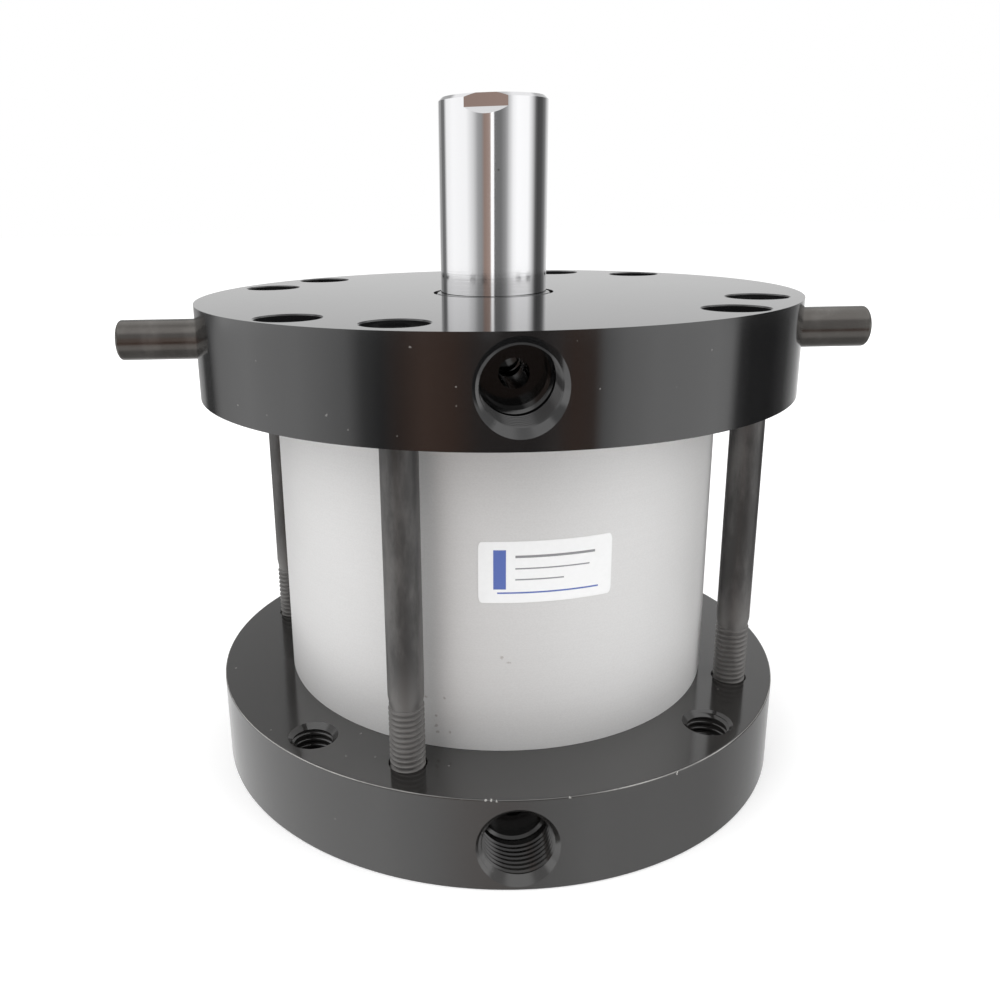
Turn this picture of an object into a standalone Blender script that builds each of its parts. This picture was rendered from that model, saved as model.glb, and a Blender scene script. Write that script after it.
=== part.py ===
"""Compact pneumatic cylinder, standing on its cap end with the rod fully extended.

Two round end plates clamp a tube between them with four long cap screws. Each plate has a
spigot that centres the tube, an O-ring, a rubber bumper and an air port with its passage into
the bore. The rod runs through a gland in the upper plate and carries the piston inside.

Units are metres, +Z points along the rod, and the origin is the centre of the lower plate's
underside. The ports face -Y.
"""
import math

import bmesh
import bpy
from mathutils import Matrix

MM = 0.001

# Gaps between neighbouring pieces
SEAT_GAP = 0.3 * MM
RUNNING_GAP = 0.3 * MM
GROOVE_GAP = 0.3 * MM
STOP_GAP = 0.3 * MM

# Bore and stroke
BORE_RADIUS = 50.0 * MM
BARREL_WALL = 3.5 * MM
BARREL_CHAMFER = 0.5 * MM
STROKE = 38.1 * MM

# Rod
ROD_RADIUS = 12.7 * MM
ROD_CHAMFER = 0.8 * MM
ROD_STAND_OUT = 6.0 * MM
ROD_THREAD_RADIUS = 7.0 * MM
ROD_THREAD_DEPTH = 28.0 * MM
ROD_THREAD_CHAMFER = 1.2 * MM
DRILL_POINT_ANGLE = math.radians(118.0)
FLAT_DEPTH = 1.0 * MM
FLAT_LENGTH = 2.9 * MM
FLAT_RUNOUT = 1.5 * MM
FLAT_TURN = math.radians(-101.8)
ROD_SPIGOT_STEP = 2.5 * MM
ROD_SPIGOT_LENGTH = 4.0 * MM

# Air ports, one in each plate
PORT_RADIUS = 7.8 * MM
PORT_CHAMFER = 1.4 * MM
PORT_DEPTH = 15.0 * MM
PORT_COVER = 0.8 * MM
PORT_BACKING = 2.3 * MM
PORT_TURN = math.radians(-90.0)
PASSAGE_RADIUS = 3.0 * MM
PASSAGE_FROM_BORE = 10.0 * MM

# Plate edges and spigots
PLATE_CHAMFER = 0.6 * MM
SPIGOT_HEIGHT = 5.0 * MM
SPIGOT_CHAMFER = 0.5 * MM
HOLE_CHAMFER = 0.3 * MM

# Tie screws, M8 cap screws
SCREW_RADIUS = 3.85 * MM
SCREW_THREAD_RADIUS = 3.7 * MM
SCREW_NECK_RADIUS = 3.5 * MM
SCREW_NECK_LENGTH = 2.0 * MM
SCREW_THREAD_LENGTH = 30.0 * MM
SCREW_BITE = 17.0 * MM
SCREW_HEAD_RADIUS = 6.4 * MM
SCREW_HEAD_HEIGHT = 8.0 * MM
SCREW_HEAD_CHAMFER = 0.6 * MM
SCREW_SOCKET_ACROSS = 6.0 * MM
SCREW_SOCKET_DEPTH = 4.0 * MM
SCREW_HEAD_INSET = 2.0 * MM
SCREW_TO_BARREL = 3.65 * MM
SCREW_TURN = math.radians(-111.4)
SCREW_COUNT = 4

# Bolt holes in the plates
HEAD_CLEARANCE = 0.35 * MM
SHANK_CLEARANCE = 0.65 * MM
TAPPED_CLEARANCE = 0.3 * MM
EDGE_WALL = 1.25 * MM
MOUNT_THREAD_RADIUS = 4.6 * MM
MOUNT_THREAD_CHAMFER = 1.0 * MM
MOUNT_TURN = math.radians(-133.9)
MOUNT_CIRCLE_STEP = 2.0 * MM

# Side pins
PIN_RADIUS = 4.9 * MM
PIN_STAND_OUT = 20.5 * MM
PIN_SEAT_DEPTH = 12.0 * MM
PIN_CHAMFER = 0.8 * MM

# Rod gland, from its mouth down
GLAND_MOUTH_GAP = 1.8 * MM
GLAND_MOUTH_DEPTH = 2.0 * MM
GLAND_LAND = 2.0 * MM
WIPER_GROOVE_DEPTH = 4.5 * MM
WIPER_GROOVE_WIDTH = 5.0 * MM
WIPER_LIP_WALL = 1.2 * MM
WIPER_SINK = 0.15 * MM
ROD_SEAL_GROOVE_DEPTH = 4.5 * MM
ROD_SEAL_GROOVE_WIDTH = 5.4 * MM
BUSHING_WALL = 1.7 * MM
BUSHING_CHAMFER = 0.4 * MM

# Static seals and bumpers
BARREL_SEAL_GROOVE_DEPTH = 2.6 * MM
BUMPER_INNER_RADIUS = 25.0 * MM
BUMPER_WIDTH = 8.0 * MM
BUMPER_GROOVE_DEPTH = 2.0 * MM
BUMPER_PROUD = 1.0 * MM
ROD_STATIC_GROOVE_DEPTH = 1.6 * MM

# Piston and its rings
PISTON_GAP = 0.4 * MM
PISTON_LAND = 1.75 * MM
PISTON_CHAMFER = 0.5 * MM
PISTON_SEAL_GROOVE_WIDTH = 4.4 * MM
PISTON_SEAL_GROOVE_DEPTH = 4.5 * MM
WEAR_GROOVE_WIDTH = 5.0 * MM
WEAR_GROOVE_DEPTH = 2.5 * MM
WEAR_RING_SPLIT = 1.5 * MM
SEAL_NOTCH_DEPTH = 1.6 * MM
SEAL_LIP_WALL = 1.35 * MM

# Piston bolt and washer
BOLT_RADIUS = 6.0 * MM
BOLT_BITE = 25.0 * MM
BOLT_HEAD_RADIUS = 9.0 * MM
BOLT_HEAD_HEIGHT = 7.0 * MM
BOLT_HEAD_INSET = 0.4 * MM
BOLT_CHAMFER = 0.8 * MM
BOLT_SOCKET_ACROSS = 8.0 * MM
BOLT_SOCKET_DEPTH = 3.5 * MM
BOLT_END_SPACE = 2.0 * MM
WASHER_THICKNESS = 2.0 * MM
WASHER_OVERHANG = 3.0 * MM

# Facets round a full turn
PLATE_FACETS = 60
BARREL_FACETS = 60
PISTON_FACETS = 36
ROD_FACETS = 32
GLAND_FACETS = 28
PORT_FACETS = 20
HOLE_FACETS = 16
SCREW_FACETS = 16
PIN_FACETS = 20
ORING_SIDES = 6
CUT_MARGIN = 3.0 * MM
FULL_TURN = 2.0 * math.pi
HEX_SIDES = 6
HEX_TURN = FULL_TURN / HEX_SIDES

# Sizes that follow
BARREL_RADIUS = BORE_RADIUS + BARREL_WALL
SCREW_CIRCLE_RADIUS = BARREL_RADIUS + SCREW_TO_BARREL + SCREW_RADIUS
COUNTERBORE_RADIUS = SCREW_HEAD_RADIUS + HEAD_CLEARANCE
MOUNT_CIRCLE_RADIUS = SCREW_CIRCLE_RADIUS + MOUNT_CIRCLE_STEP
PLATE_RADIUS = MOUNT_CIRCLE_RADIUS + COUNTERBORE_RADIUS + EDGE_WALL
PORT_HEIGHT = PORT_COVER + PORT_CHAMFER + PORT_RADIUS
PLATE_THICKNESS = PORT_HEIGHT + PORT_RADIUS + PORT_CHAMFER + PORT_BACKING
SPIGOT_RADIUS = BORE_RADIUS - SEAT_GAP
PASSAGE_OFFSET = BORE_RADIUS - PASSAGE_FROM_BORE

PISTON_RADIUS = BORE_RADIUS - PISTON_GAP
PISTON_LENGTH = 4.0 * PISTON_LAND + 2.0 * PISTON_SEAL_GROOVE_WIDTH + WEAR_GROOVE_WIDTH
END_SPACE = SPIGOT_HEIGHT + BUMPER_PROUD + STOP_GAP
PLATE_SPACING = STROKE + PISTON_LENGTH + 2.0 * END_SPACE
ROD_PLATE_LOW = PLATE_THICKNESS + PLATE_SPACING
ROD_PLATE_TOP = ROD_PLATE_LOW + PLATE_THICKNESS
PISTON_LOW = ROD_PLATE_LOW - END_SPACE - PISTON_LENGTH
ROD_LOW = PISTON_LOW + PISTON_LENGTH + SEAT_GAP
ROD_TOP = ROD_PLATE_TOP + ROD_STAND_OUT + STROKE
ROD_LENGTH = ROD_TOP - ROD_LOW
ROD_SPIGOT_RADIUS = ROD_RADIUS - ROD_SPIGOT_STEP

WASHER_RADIUS = BOLT_HEAD_RADIUS + WASHER_OVERHANG
BOLT_HOLE_RADIUS = BOLT_RADIUS + SEAT_GAP
BOLT_RECESS = BOLT_HEAD_INSET + BOLT_HEAD_HEIGHT + WASHER_THICKNESS + 2.0 * SEAT_GAP
BOLT_SEAT = BOLT_HEAD_INSET + BOLT_HEAD_HEIGHT
BOLT_LENGTH = PISTON_LENGTH - BOLT_SEAT + SEAT_GAP + BOLT_BITE - ROD_SPIGOT_LENGTH

SCREW_SEAT = ROD_PLATE_TOP - SCREW_HEAD_INSET - SCREW_HEAD_HEIGHT
SCREW_LENGTH = SCREW_SEAT - PLATE_THICKNESS + SCREW_BITE


def clear_scene():
    """Empty the scene without closing the open file."""
    for old in list(bpy.data.objects):
        bpy.data.objects.remove(old, do_unlink=True)


def finish(name, colour, roughness, metallic):
    """Return a plain surface finish."""
    made = bpy.data.materials.new(name)
    made.use_nodes = True
    shader = made.node_tree.nodes["Principled BSDF"]
    shader.inputs["Base Color"].default_value = (*colour, 1.0)
    shader.inputs["Roughness"].default_value = roughness
    shader.inputs["Metallic"].default_value = metallic
    return made


def empty(name, height):
    """Add an empty on the cylinder's axis to carry the pieces of one assembly."""
    made = bpy.data.objects.new(name, None)
    made.location = (0.0, 0.0, height)
    bpy.context.scene.collection.objects.link(made)
    return made


def add_object(name, mesh, surface=None, parent=None, at=(0.0, 0.0, 0.0)):
    """Add a mesh to the scene as one named piece."""
    made = bpy.data.objects.new(name, mesh)
    bpy.context.scene.collection.objects.link(made)
    made.parent = parent
    made.location = at
    if surface is not None and not mesh.materials:
        mesh.materials.append(surface)
    return made


def turned_mesh(name, outline, facets, ring=False):
    """Spin an outline of (radius, height) points round Z.

    An outline that starts and ends on the axis makes a solid; a ring's outline is closed.
    """
    shape = bmesh.new()
    points = [shape.verts.new((radius, 0.0, height)) for radius, height in outline]
    pairs = list(zip(points, points[1:]))
    if ring:
        pairs.append((points[-1], points[0]))
    edges = [shape.edges.new(pair) for pair in pairs]
    bmesh.ops.spin(
        shape,
        geom=points + edges,
        cent=(0.0, 0.0, 0.0),
        axis=(0.0, 0.0, 1.0),
        angle=FULL_TURN,
        steps=facets,
        use_merge=True,
    )
    return closed_mesh(name, shape)


def split_ring_mesh(name, outline, facets, split_angle):
    """Spin a closed outline short of a full turn and close both ends."""
    shape = bmesh.new()
    section = shape.faces.new([shape.verts.new((radius, 0.0, height)) for radius, height in outline])
    bmesh.ops.spin(
        shape,
        geom=[section] + list(section.edges) + list(section.verts),
        cent=(0.0, 0.0, 0.0),
        axis=(0.0, 0.0, 1.0),
        angle=FULL_TURN - split_angle,
        steps=facets,
    )
    return closed_mesh(name, shape)


def closed_mesh(name, shape):
    """Weld a bmesh, turn its faces outwards and return it as a smooth-shaded mesh."""
    weld_distance = 0.001 * MM
    sharp_angle = math.radians(30.0)
    bmesh.ops.remove_doubles(shape, verts=shape.verts, dist=weld_distance)
    bmesh.ops.recalc_face_normals(shape, faces=shape.faces)
    mesh = bpy.data.meshes.new(name)
    shape.to_mesh(mesh)
    shape.free()
    mesh.shade_smooth()
    mesh.set_sharp_from_angle(angle=sharp_angle)
    return mesh


def prism_mesh(name, outline, low, high):
    """Extrude an outline of (x, y) points from one height to another."""
    shape = bmesh.new()
    base = shape.faces.new([shape.verts.new((x, y, low)) for x, y in outline])
    extruded = bmesh.ops.extrude_face_region(shape, geom=[base])
    top = [item for item in extruded["geom"] if isinstance(item, bmesh.types.BMVert)]
    bmesh.ops.translate(shape, verts=top, vec=(0.0, 0.0, high - low))
    bmesh.ops.recalc_face_normals(shape, faces=shape.faces)
    mesh = bpy.data.meshes.new(name)
    shape.to_mesh(mesh)
    shape.free()
    return mesh


def joined_mesh(name, mesh, places):
    """Return one mesh that holds a copy of another at each of the places."""
    shape = bmesh.new()
    for place in places:
        copy = mesh.copy()
        copy.transform(place)
        shape.from_mesh(copy)
        bpy.data.meshes.remove(copy)
    made = bpy.data.meshes.new(name)
    shape.to_mesh(made)
    shape.free()
    return made


def cut(target, mesh, place=None):
    """Cut a closed mesh out of a piece with a Boolean that stays on it."""
    cutter = add_object(mesh.name, mesh, parent=target)
    if place is not None:
        cutter.matrix_local = place
    cutter.display_type = "WIRE"
    cutter.hide_render = True
    boolean = target.modifiers.new(mesh.name, "BOOLEAN")
    boolean.operation = "DIFFERENCE"
    boolean.solver = "EXACT"
    boolean.object = cutter


def settled_mesh(piece):
    """Return a piece's mesh with its modifiers worked in, for copies to share."""
    bpy.context.view_layer.update()
    view = bpy.context.evaluated_depsgraph_get()
    mesh = bpy.data.meshes.new_from_object(piece.evaluated_get(view))
    mesh.name = piece.name
    return mesh


def circle_places(count, radius, turn):
    """Return the places of equally spaced holes on a circle round Z."""
    return [
        Matrix.Rotation(turn + step * FULL_TURN / count, 4, "Z") @ Matrix.Translation((radius, 0.0, 0.0))
        for step in range(count)
    ]


def facing_out(turn, radius, height):
    """Return a place whose +Z points out along a radius, that far from the axis."""
    out = Matrix.Translation((radius, 0.0, height)) @ Matrix.Rotation(math.pi / 2.0, 4, "Y")
    return Matrix.Rotation(turn, 4, "Z") @ out


def hexagon(across):
    """Return the corners of a hexagon with this size across its flats."""
    corner = across / 2.0 / math.cos(HEX_TURN / 2.0)
    return [(corner * math.cos(step * HEX_TURN), corner * math.sin(step * HEX_TURN))
            for step in range(HEX_SIDES)]


def plate_outline():
    """Outline of an end plate that lies on z = 0 with its spigot and its grooves on top."""
    spigot_top = PLATE_THICKNESS + SPIGOT_HEIGHT
    seal_width = BARREL_SEAL_GROOVE_DEPTH + GROOVE_GAP
    seal_low = PLATE_THICKNESS + (SPIGOT_HEIGHT - SPIGOT_CHAMFER - seal_width) / 2.0
    seal_floor = SPIGOT_RADIUS - BARREL_SEAL_GROOVE_DEPTH
    bumper_floor = spigot_top - BUMPER_GROOVE_DEPTH
    bumper_outer = BUMPER_INNER_RADIUS + BUMPER_WIDTH
    return [
        (0.0, 0.0),
        (PLATE_RADIUS - PLATE_CHAMFER, 0.0),
        (PLATE_RADIUS, PLATE_CHAMFER),
        (PLATE_RADIUS, PLATE_THICKNESS - PLATE_CHAMFER),
        (PLATE_RADIUS - PLATE_CHAMFER, PLATE_THICKNESS),
        (SPIGOT_RADIUS, PLATE_THICKNESS),
        (SPIGOT_RADIUS, seal_low),
        (seal_floor, seal_low),
        (seal_floor, seal_low + seal_width),
        (SPIGOT_RADIUS, seal_low + seal_width),
        (SPIGOT_RADIUS, spigot_top - SPIGOT_CHAMFER),
        (SPIGOT_RADIUS - SPIGOT_CHAMFER, spigot_top),
        (bumper_outer, spigot_top),
        (bumper_outer, bumper_floor),
        (BUMPER_INNER_RADIUS, bumper_floor),
        (BUMPER_INNER_RADIUS, spigot_top),
        (0.0, spigot_top),
    ]


def port_cutter():
    """Port with its countersunk mouth and the narrower passage behind it, opening along +Z."""
    mouth = PORT_RADIUS + PORT_CHAMFER + CUT_MARGIN
    passage_end = PLATE_RADIUS - PASSAGE_OFFSET + PASSAGE_RADIUS
    outline = [
        (0.0, -passage_end),
        (PASSAGE_RADIUS, -passage_end),
        (PASSAGE_RADIUS, -PORT_DEPTH),
        (PORT_RADIUS, -PORT_DEPTH),
        (PORT_RADIUS, -PORT_CHAMFER),
        (mouth, CUT_MARGIN),
        (0.0, CUT_MARGIN),
    ]
    return turned_mesh("port_cut", outline, PORT_FACETS)


def passage_cutter():
    """Passage from the middle of the port's passage up through the spigot."""
    outline = [
        (0.0, PORT_HEIGHT),
        (PASSAGE_RADIUS, PORT_HEIGHT),
        (PASSAGE_RADIUS, PLATE_THICKNESS + SPIGOT_HEIGHT + CUT_MARGIN),
        (0.0, PLATE_THICKNESS + SPIGOT_HEIGHT + CUT_MARGIN),
    ]
    return turned_mesh("passage_cut", outline, PORT_FACETS)


def through_hole_cutter(name, radius, low_chamfer, high_chamfer):
    """Hole through a plate that lies on z = 0, countersunk at both faces."""
    outline = [
        (0.0, -CUT_MARGIN),
        (radius + low_chamfer + CUT_MARGIN, -CUT_MARGIN),
        (radius, low_chamfer),
        (radius, PLATE_THICKNESS - high_chamfer),
        (radius + high_chamfer + CUT_MARGIN, PLATE_THICKNESS + CUT_MARGIN),
        (0.0, PLATE_THICKNESS + CUT_MARGIN),
    ]
    return turned_mesh(name, outline, HOLE_FACETS)


def add_port(plate):
    """Cut a plate's port and the air passage into the bore."""
    cut(plate, port_cutter(), facing_out(PORT_TURN, PLATE_RADIUS, PORT_HEIGHT))
    inward = Matrix.Rotation(PORT_TURN, 4, "Z") @ Matrix.Translation((PASSAGE_OFFSET, 0.0, 0.0))
    cut(plate, passage_cutter(), inward)


def cap_end_plate(surface, parent):
    """Lower plate: tapped for the tie screws and for the bolts that mount the cylinder."""
    plate = add_object("cap_end_plate", turned_mesh("cap_end_plate", plate_outline(), PLATE_FACETS),
                       surface, parent)
    add_port(plate)
    tapped_radius = SCREW_RADIUS + TAPPED_CLEARANCE
    tapped = through_hole_cutter("tapped_hole", tapped_radius, HOLE_CHAMFER, HOLE_CHAMFER)
    mount = through_hole_cutter("mount_hole", MOUNT_THREAD_RADIUS, MOUNT_THREAD_CHAMFER,
                                MOUNT_THREAD_CHAMFER)
    screw_places = circle_places(SCREW_COUNT, SCREW_CIRCLE_RADIUS, SCREW_TURN)
    mount_places = circle_places(SCREW_COUNT, MOUNT_CIRCLE_RADIUS, MOUNT_TURN)
    cut(plate, joined_mesh("tapped_holes_cut", tapped, screw_places))
    cut(plate, joined_mesh("mount_holes_cut", mount, mount_places))
    return plate


def counterbore_cutter():
    """Clearance hole with a counterbore that opens at z = 0, where the plate's outer face lies."""
    shank = SCREW_RADIUS + SHANK_CLEARANCE
    depth = SCREW_HEAD_INSET + SCREW_HEAD_HEIGHT + SEAT_GAP
    outline = [
        (0.0, -CUT_MARGIN),
        (COUNTERBORE_RADIUS + HOLE_CHAMFER + CUT_MARGIN, -CUT_MARGIN),
        (COUNTERBORE_RADIUS, HOLE_CHAMFER),
        (COUNTERBORE_RADIUS, depth),
        (shank, depth),
        (shank, PLATE_THICKNESS + CUT_MARGIN),
        (0.0, PLATE_THICKNESS + CUT_MARGIN),
    ]
    return turned_mesh("counterbore", outline, HOLE_FACETS)


def gland_cutter():
    """Stepped bore for the rod, its wiper, its seal and its bush, from the mouth at z = 0."""
    mouth = ROD_RADIUS + GLAND_MOUTH_GAP
    land = ROD_RADIUS + RUNNING_GAP
    wiper_low = GLAND_MOUTH_DEPTH + WIPER_GROOVE_WIDTH
    seal_top = wiper_low + GLAND_LAND
    seal_low = seal_top + ROD_SEAL_GROOVE_WIDTH
    bush_top = seal_low + GLAND_LAND
    bush = land + BUSHING_WALL + SEAT_GAP
    end = PLATE_THICKNESS + SPIGOT_HEIGHT + CUT_MARGIN
    outline = [
        (0.0, -CUT_MARGIN),
        (mouth, -CUT_MARGIN),
        (mouth, GLAND_MOUTH_DEPTH),
        (ROD_RADIUS + WIPER_GROOVE_DEPTH, GLAND_MOUTH_DEPTH),
        (ROD_RADIUS + WIPER_GROOVE_DEPTH, wiper_low),
        (land, wiper_low),
        (land, seal_top),
        (ROD_RADIUS + ROD_SEAL_GROOVE_DEPTH, seal_top),
        (ROD_RADIUS + ROD_SEAL_GROOVE_DEPTH, seal_low),
        (land, seal_low),
        (land, bush_top),
        (bush, bush_top),
        (bush, end),
        (0.0, end),
    ]
    return turned_mesh("gland_cut", outline, GLAND_FACETS)


def pin_hole_cutter():
    """Blind hole for a side pin, opening along +Z at the plate's rim."""
    radius = PIN_RADIUS + SEAT_GAP
    outline = [
        (0.0, -PIN_SEAT_DEPTH),
        (radius, -PIN_SEAT_DEPTH),
        (radius, CUT_MARGIN),
        (0.0, CUT_MARGIN),
    ]
    return turned_mesh("pin_hole", outline, PIN_FACETS)


def rod_end_plate(surface, parent):
    """Upper plate, the lower one's outline turned over, with the rod gland in its middle.

    It is modelled lying on its outer face, so the object is turned over about the Y axis, which
    keeps the port at -Y.
    """
    plate = add_object("rod_end_plate", turned_mesh("rod_end_plate", plate_outline(), PLATE_FACETS),
                       surface, parent, (0.0, 0.0, ROD_PLATE_TOP))
    plate.rotation_euler = (0.0, math.pi, 0.0)
    add_port(plate)
    cut(plate, gland_cutter())
    counterbore = counterbore_cutter()
    turned_over = [
        place
        for radius, turn in ((SCREW_CIRCLE_RADIUS, SCREW_TURN), (MOUNT_CIRCLE_RADIUS, MOUNT_TURN))
        for place in circle_places(SCREW_COUNT, radius, math.pi - turn)
    ]
    cut(plate, joined_mesh("counterbores_cut", counterbore, turned_over))
    pin_places = [facing_out(turn, PLATE_RADIUS, PORT_HEIGHT) for turn in (0.0, math.pi)]
    cut(plate, joined_mesh("pin_holes_cut", pin_hole_cutter(), pin_places))
    return plate


def barrel(surface, parent):
    """Tube between the plates, with lead-in chamfers for the seals."""
    length = PLATE_SPACING - 2.0 * SEAT_GAP
    outline = [
        (BORE_RADIUS + BARREL_CHAMFER, 0.0),
        (BARREL_RADIUS, 0.0),
        (BARREL_RADIUS, length),
        (BORE_RADIUS + BARREL_CHAMFER, length),
        (BORE_RADIUS, length - BARREL_CHAMFER),
        (BORE_RADIUS, BARREL_CHAMFER),
    ]
    mesh = turned_mesh("barrel", outline, BARREL_FACETS, ring=True)
    return add_object("barrel", mesh, surface, parent, (0.0, 0.0, PLATE_THICKNESS + SEAT_GAP))


def oring_outline(inner, outer, middle):
    """Round section between two radii, as a polygon round its centre."""
    radius = (outer - inner) / 2.0
    centre = (outer + inner) / 2.0
    angles = [(step + 0.5) * FULL_TURN / ORING_SIDES for step in range(ORING_SIDES)]
    return [(centre + radius * math.cos(angle), middle + radius * math.sin(angle)) for angle in angles]


def barrel_seals(surface, parent):
    """O-rings that seal the tube on both spigots."""
    outer = BORE_RADIUS - GROOVE_GAP
    inner = SPIGOT_RADIUS - BARREL_SEAL_GROOVE_DEPTH + GROOVE_GAP
    middle = (SPIGOT_HEIGHT - SPIGOT_CHAMFER) / 2.0
    mesh = turned_mesh("barrel_seal", oring_outline(inner, outer, 0.0), PISTON_FACETS, ring=True)
    add_object("barrel_seal_lower", mesh, surface, parent, (0.0, 0.0, PLATE_THICKNESS + middle))
    add_object("barrel_seal_upper", mesh, surface, parent, (0.0, 0.0, ROD_PLATE_LOW - middle))


def bumpers(surface, parent):
    """Rubber rings in the spigot faces that the piston stops against."""
    thickness = BUMPER_GROOVE_DEPTH + BUMPER_PROUD - GROOVE_GAP
    inner = BUMPER_INNER_RADIUS + GROOVE_GAP
    outer = BUMPER_INNER_RADIUS + BUMPER_WIDTH - GROOVE_GAP
    outline = [(inner, 0.0), (outer, 0.0), (outer, thickness), (inner, thickness)]
    mesh = turned_mesh("bumper", outline, PISTON_FACETS, ring=True)
    floor = SPIGOT_HEIGHT - BUMPER_GROOVE_DEPTH + GROOVE_GAP
    add_object("bumper_lower", mesh, surface, parent, (0.0, 0.0, PLATE_THICKNESS + floor))
    add_object("bumper_upper", mesh, surface, parent, (0.0, 0.0, ROD_PLATE_LOW - floor - thickness))


def lip_seal_outline(inner, outer, height):
    """U-shaped lip seal: a solid heel at z = 0 and a notch between two lips on top."""
    return [
        (inner, 0.0),
        (outer, 0.0),
        (outer, height),
        (outer - SEAL_LIP_WALL, height),
        ((inner + outer) / 2.0, height - SEAL_NOTCH_DEPTH),
        (inner + SEAL_LIP_WALL, height),
        (inner, height),
    ]


def rod_gland_rings(rubber, bronze, parent):
    """Wiper, rod seal and bush in the upper plate's gland."""
    land = ROD_RADIUS + RUNNING_GAP
    wiper_top = ROD_PLATE_TOP - GLAND_MOUTH_DEPTH
    wiper_height = WIPER_GROOVE_WIDTH - 2.0 * GROOVE_GAP
    wiper_outer = ROD_RADIUS + WIPER_GROOVE_DEPTH - GROOVE_GAP
    lip_top = WIPER_GROOVE_WIDTH - GROOVE_GAP + GLAND_MOUTH_DEPTH - WIPER_SINK
    wiper = [
        (land, 0.0),
        (wiper_outer, 0.0),
        (wiper_outer, wiper_height),
        (land + WIPER_LIP_WALL, wiper_height),
        (land + WIPER_LIP_WALL, lip_top),
        (land, lip_top),
    ]
    add_object("rod_wiper", turned_mesh("rod_wiper", wiper, GLAND_FACETS, ring=True), rubber, parent,
               (0.0, 0.0, wiper_top - WIPER_GROOVE_WIDTH + GROOVE_GAP))

    seal_groove_low = wiper_top - WIPER_GROOVE_WIDTH - GLAND_LAND - ROD_SEAL_GROOVE_WIDTH
    seal_outer = ROD_RADIUS + ROD_SEAL_GROOVE_DEPTH - GROOVE_GAP
    seal_height = ROD_SEAL_GROOVE_WIDTH - 2.0 * GROOVE_GAP
    seal = add_object("rod_seal", turned_mesh("rod_seal", lip_seal_outline(land, seal_outer, seal_height),
                                              GLAND_FACETS, ring=True), rubber, parent,
                      (0.0, 0.0, seal_groove_low + seal_height + GROOVE_GAP))
    seal.rotation_euler = (math.pi, 0.0, 0.0)

    bush_top = seal_groove_low - GLAND_LAND - SEAT_GAP
    bush_low = ROD_PLATE_LOW - SPIGOT_HEIGHT
    bush_height = bush_top - bush_low
    outer = land + BUSHING_WALL
    bush = [
        (land + BUSHING_CHAMFER, 0.0),
        (outer - BUSHING_CHAMFER, 0.0),
        (outer, BUSHING_CHAMFER),
        (outer, bush_height),
        (land, bush_height),
        (land, BUSHING_CHAMFER),
    ]
    add_object("rod_bushing", turned_mesh("rod_bushing", bush, GLAND_FACETS, ring=True), bronze, parent,
               (0.0, 0.0, bush_low))


def tie_screws(surface, parent):
    """Long cap screws from the upper plate's counterbores into the lower plate."""
    thread_top = SCREW_THREAD_LENGTH - SCREW_LENGTH
    outline = [
        (0.0, -SCREW_LENGTH),
        (SCREW_NECK_RADIUS, -SCREW_LENGTH),
        (SCREW_THREAD_RADIUS, -SCREW_LENGTH + (SCREW_THREAD_RADIUS - SCREW_NECK_RADIUS)),
        (SCREW_THREAD_RADIUS, thread_top),
        (SCREW_NECK_RADIUS, thread_top),
        (SCREW_NECK_RADIUS, thread_top + SCREW_NECK_LENGTH),
        (SCREW_RADIUS, thread_top + SCREW_NECK_LENGTH),
        (SCREW_RADIUS, 0.0),
        (SCREW_HEAD_RADIUS, 0.0),
        (SCREW_HEAD_RADIUS, SCREW_HEAD_HEIGHT - SCREW_HEAD_CHAMFER),
        (SCREW_HEAD_RADIUS - SCREW_HEAD_CHAMFER, SCREW_HEAD_HEIGHT),
        (0.0, SCREW_HEAD_HEIGHT),
    ]
    pattern = add_object("tie_screw", turned_mesh("tie_screw", outline, SCREW_FACETS))
    socket = prism_mesh("screw_socket_cut", hexagon(SCREW_SOCKET_ACROSS),
                        SCREW_HEAD_HEIGHT - SCREW_SOCKET_DEPTH, SCREW_HEAD_HEIGHT + CUT_MARGIN)
    cut(pattern, socket)
    mesh = settled_mesh(pattern)
    for used in [*pattern.children, pattern]:
        bpy.data.objects.remove(used, do_unlink=True)
    for number, place in enumerate(circle_places(SCREW_COUNT, SCREW_CIRCLE_RADIUS, SCREW_TURN), 1):
        at = place.translation
        add_object(f"tie_screw_{number}", mesh, surface, parent, (at.x, at.y, SCREW_SEAT))


def side_pins(surface, parent):
    """Dowels that stand out of the upper plate's rim on both sides."""
    seated = PIN_SEAT_DEPTH - SEAT_GAP
    outline = [
        (0.0, -seated),
        (PIN_RADIUS - PIN_CHAMFER, -seated),
        (PIN_RADIUS, -seated + PIN_CHAMFER),
        (PIN_RADIUS, PIN_STAND_OUT - PIN_CHAMFER),
        (PIN_RADIUS - PIN_CHAMFER, PIN_STAND_OUT),
        (0.0, PIN_STAND_OUT),
    ]
    mesh = turned_mesh("side_pin", outline, PIN_FACETS)
    height = ROD_PLATE_TOP - PORT_HEIGHT
    for name, turn in (("side_pin_right", 0.0), ("side_pin_left", math.pi)):
        pin = add_object(name, mesh, surface, parent)
        pin.matrix_local = facing_out(turn, PLATE_RADIUS, height)


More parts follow.
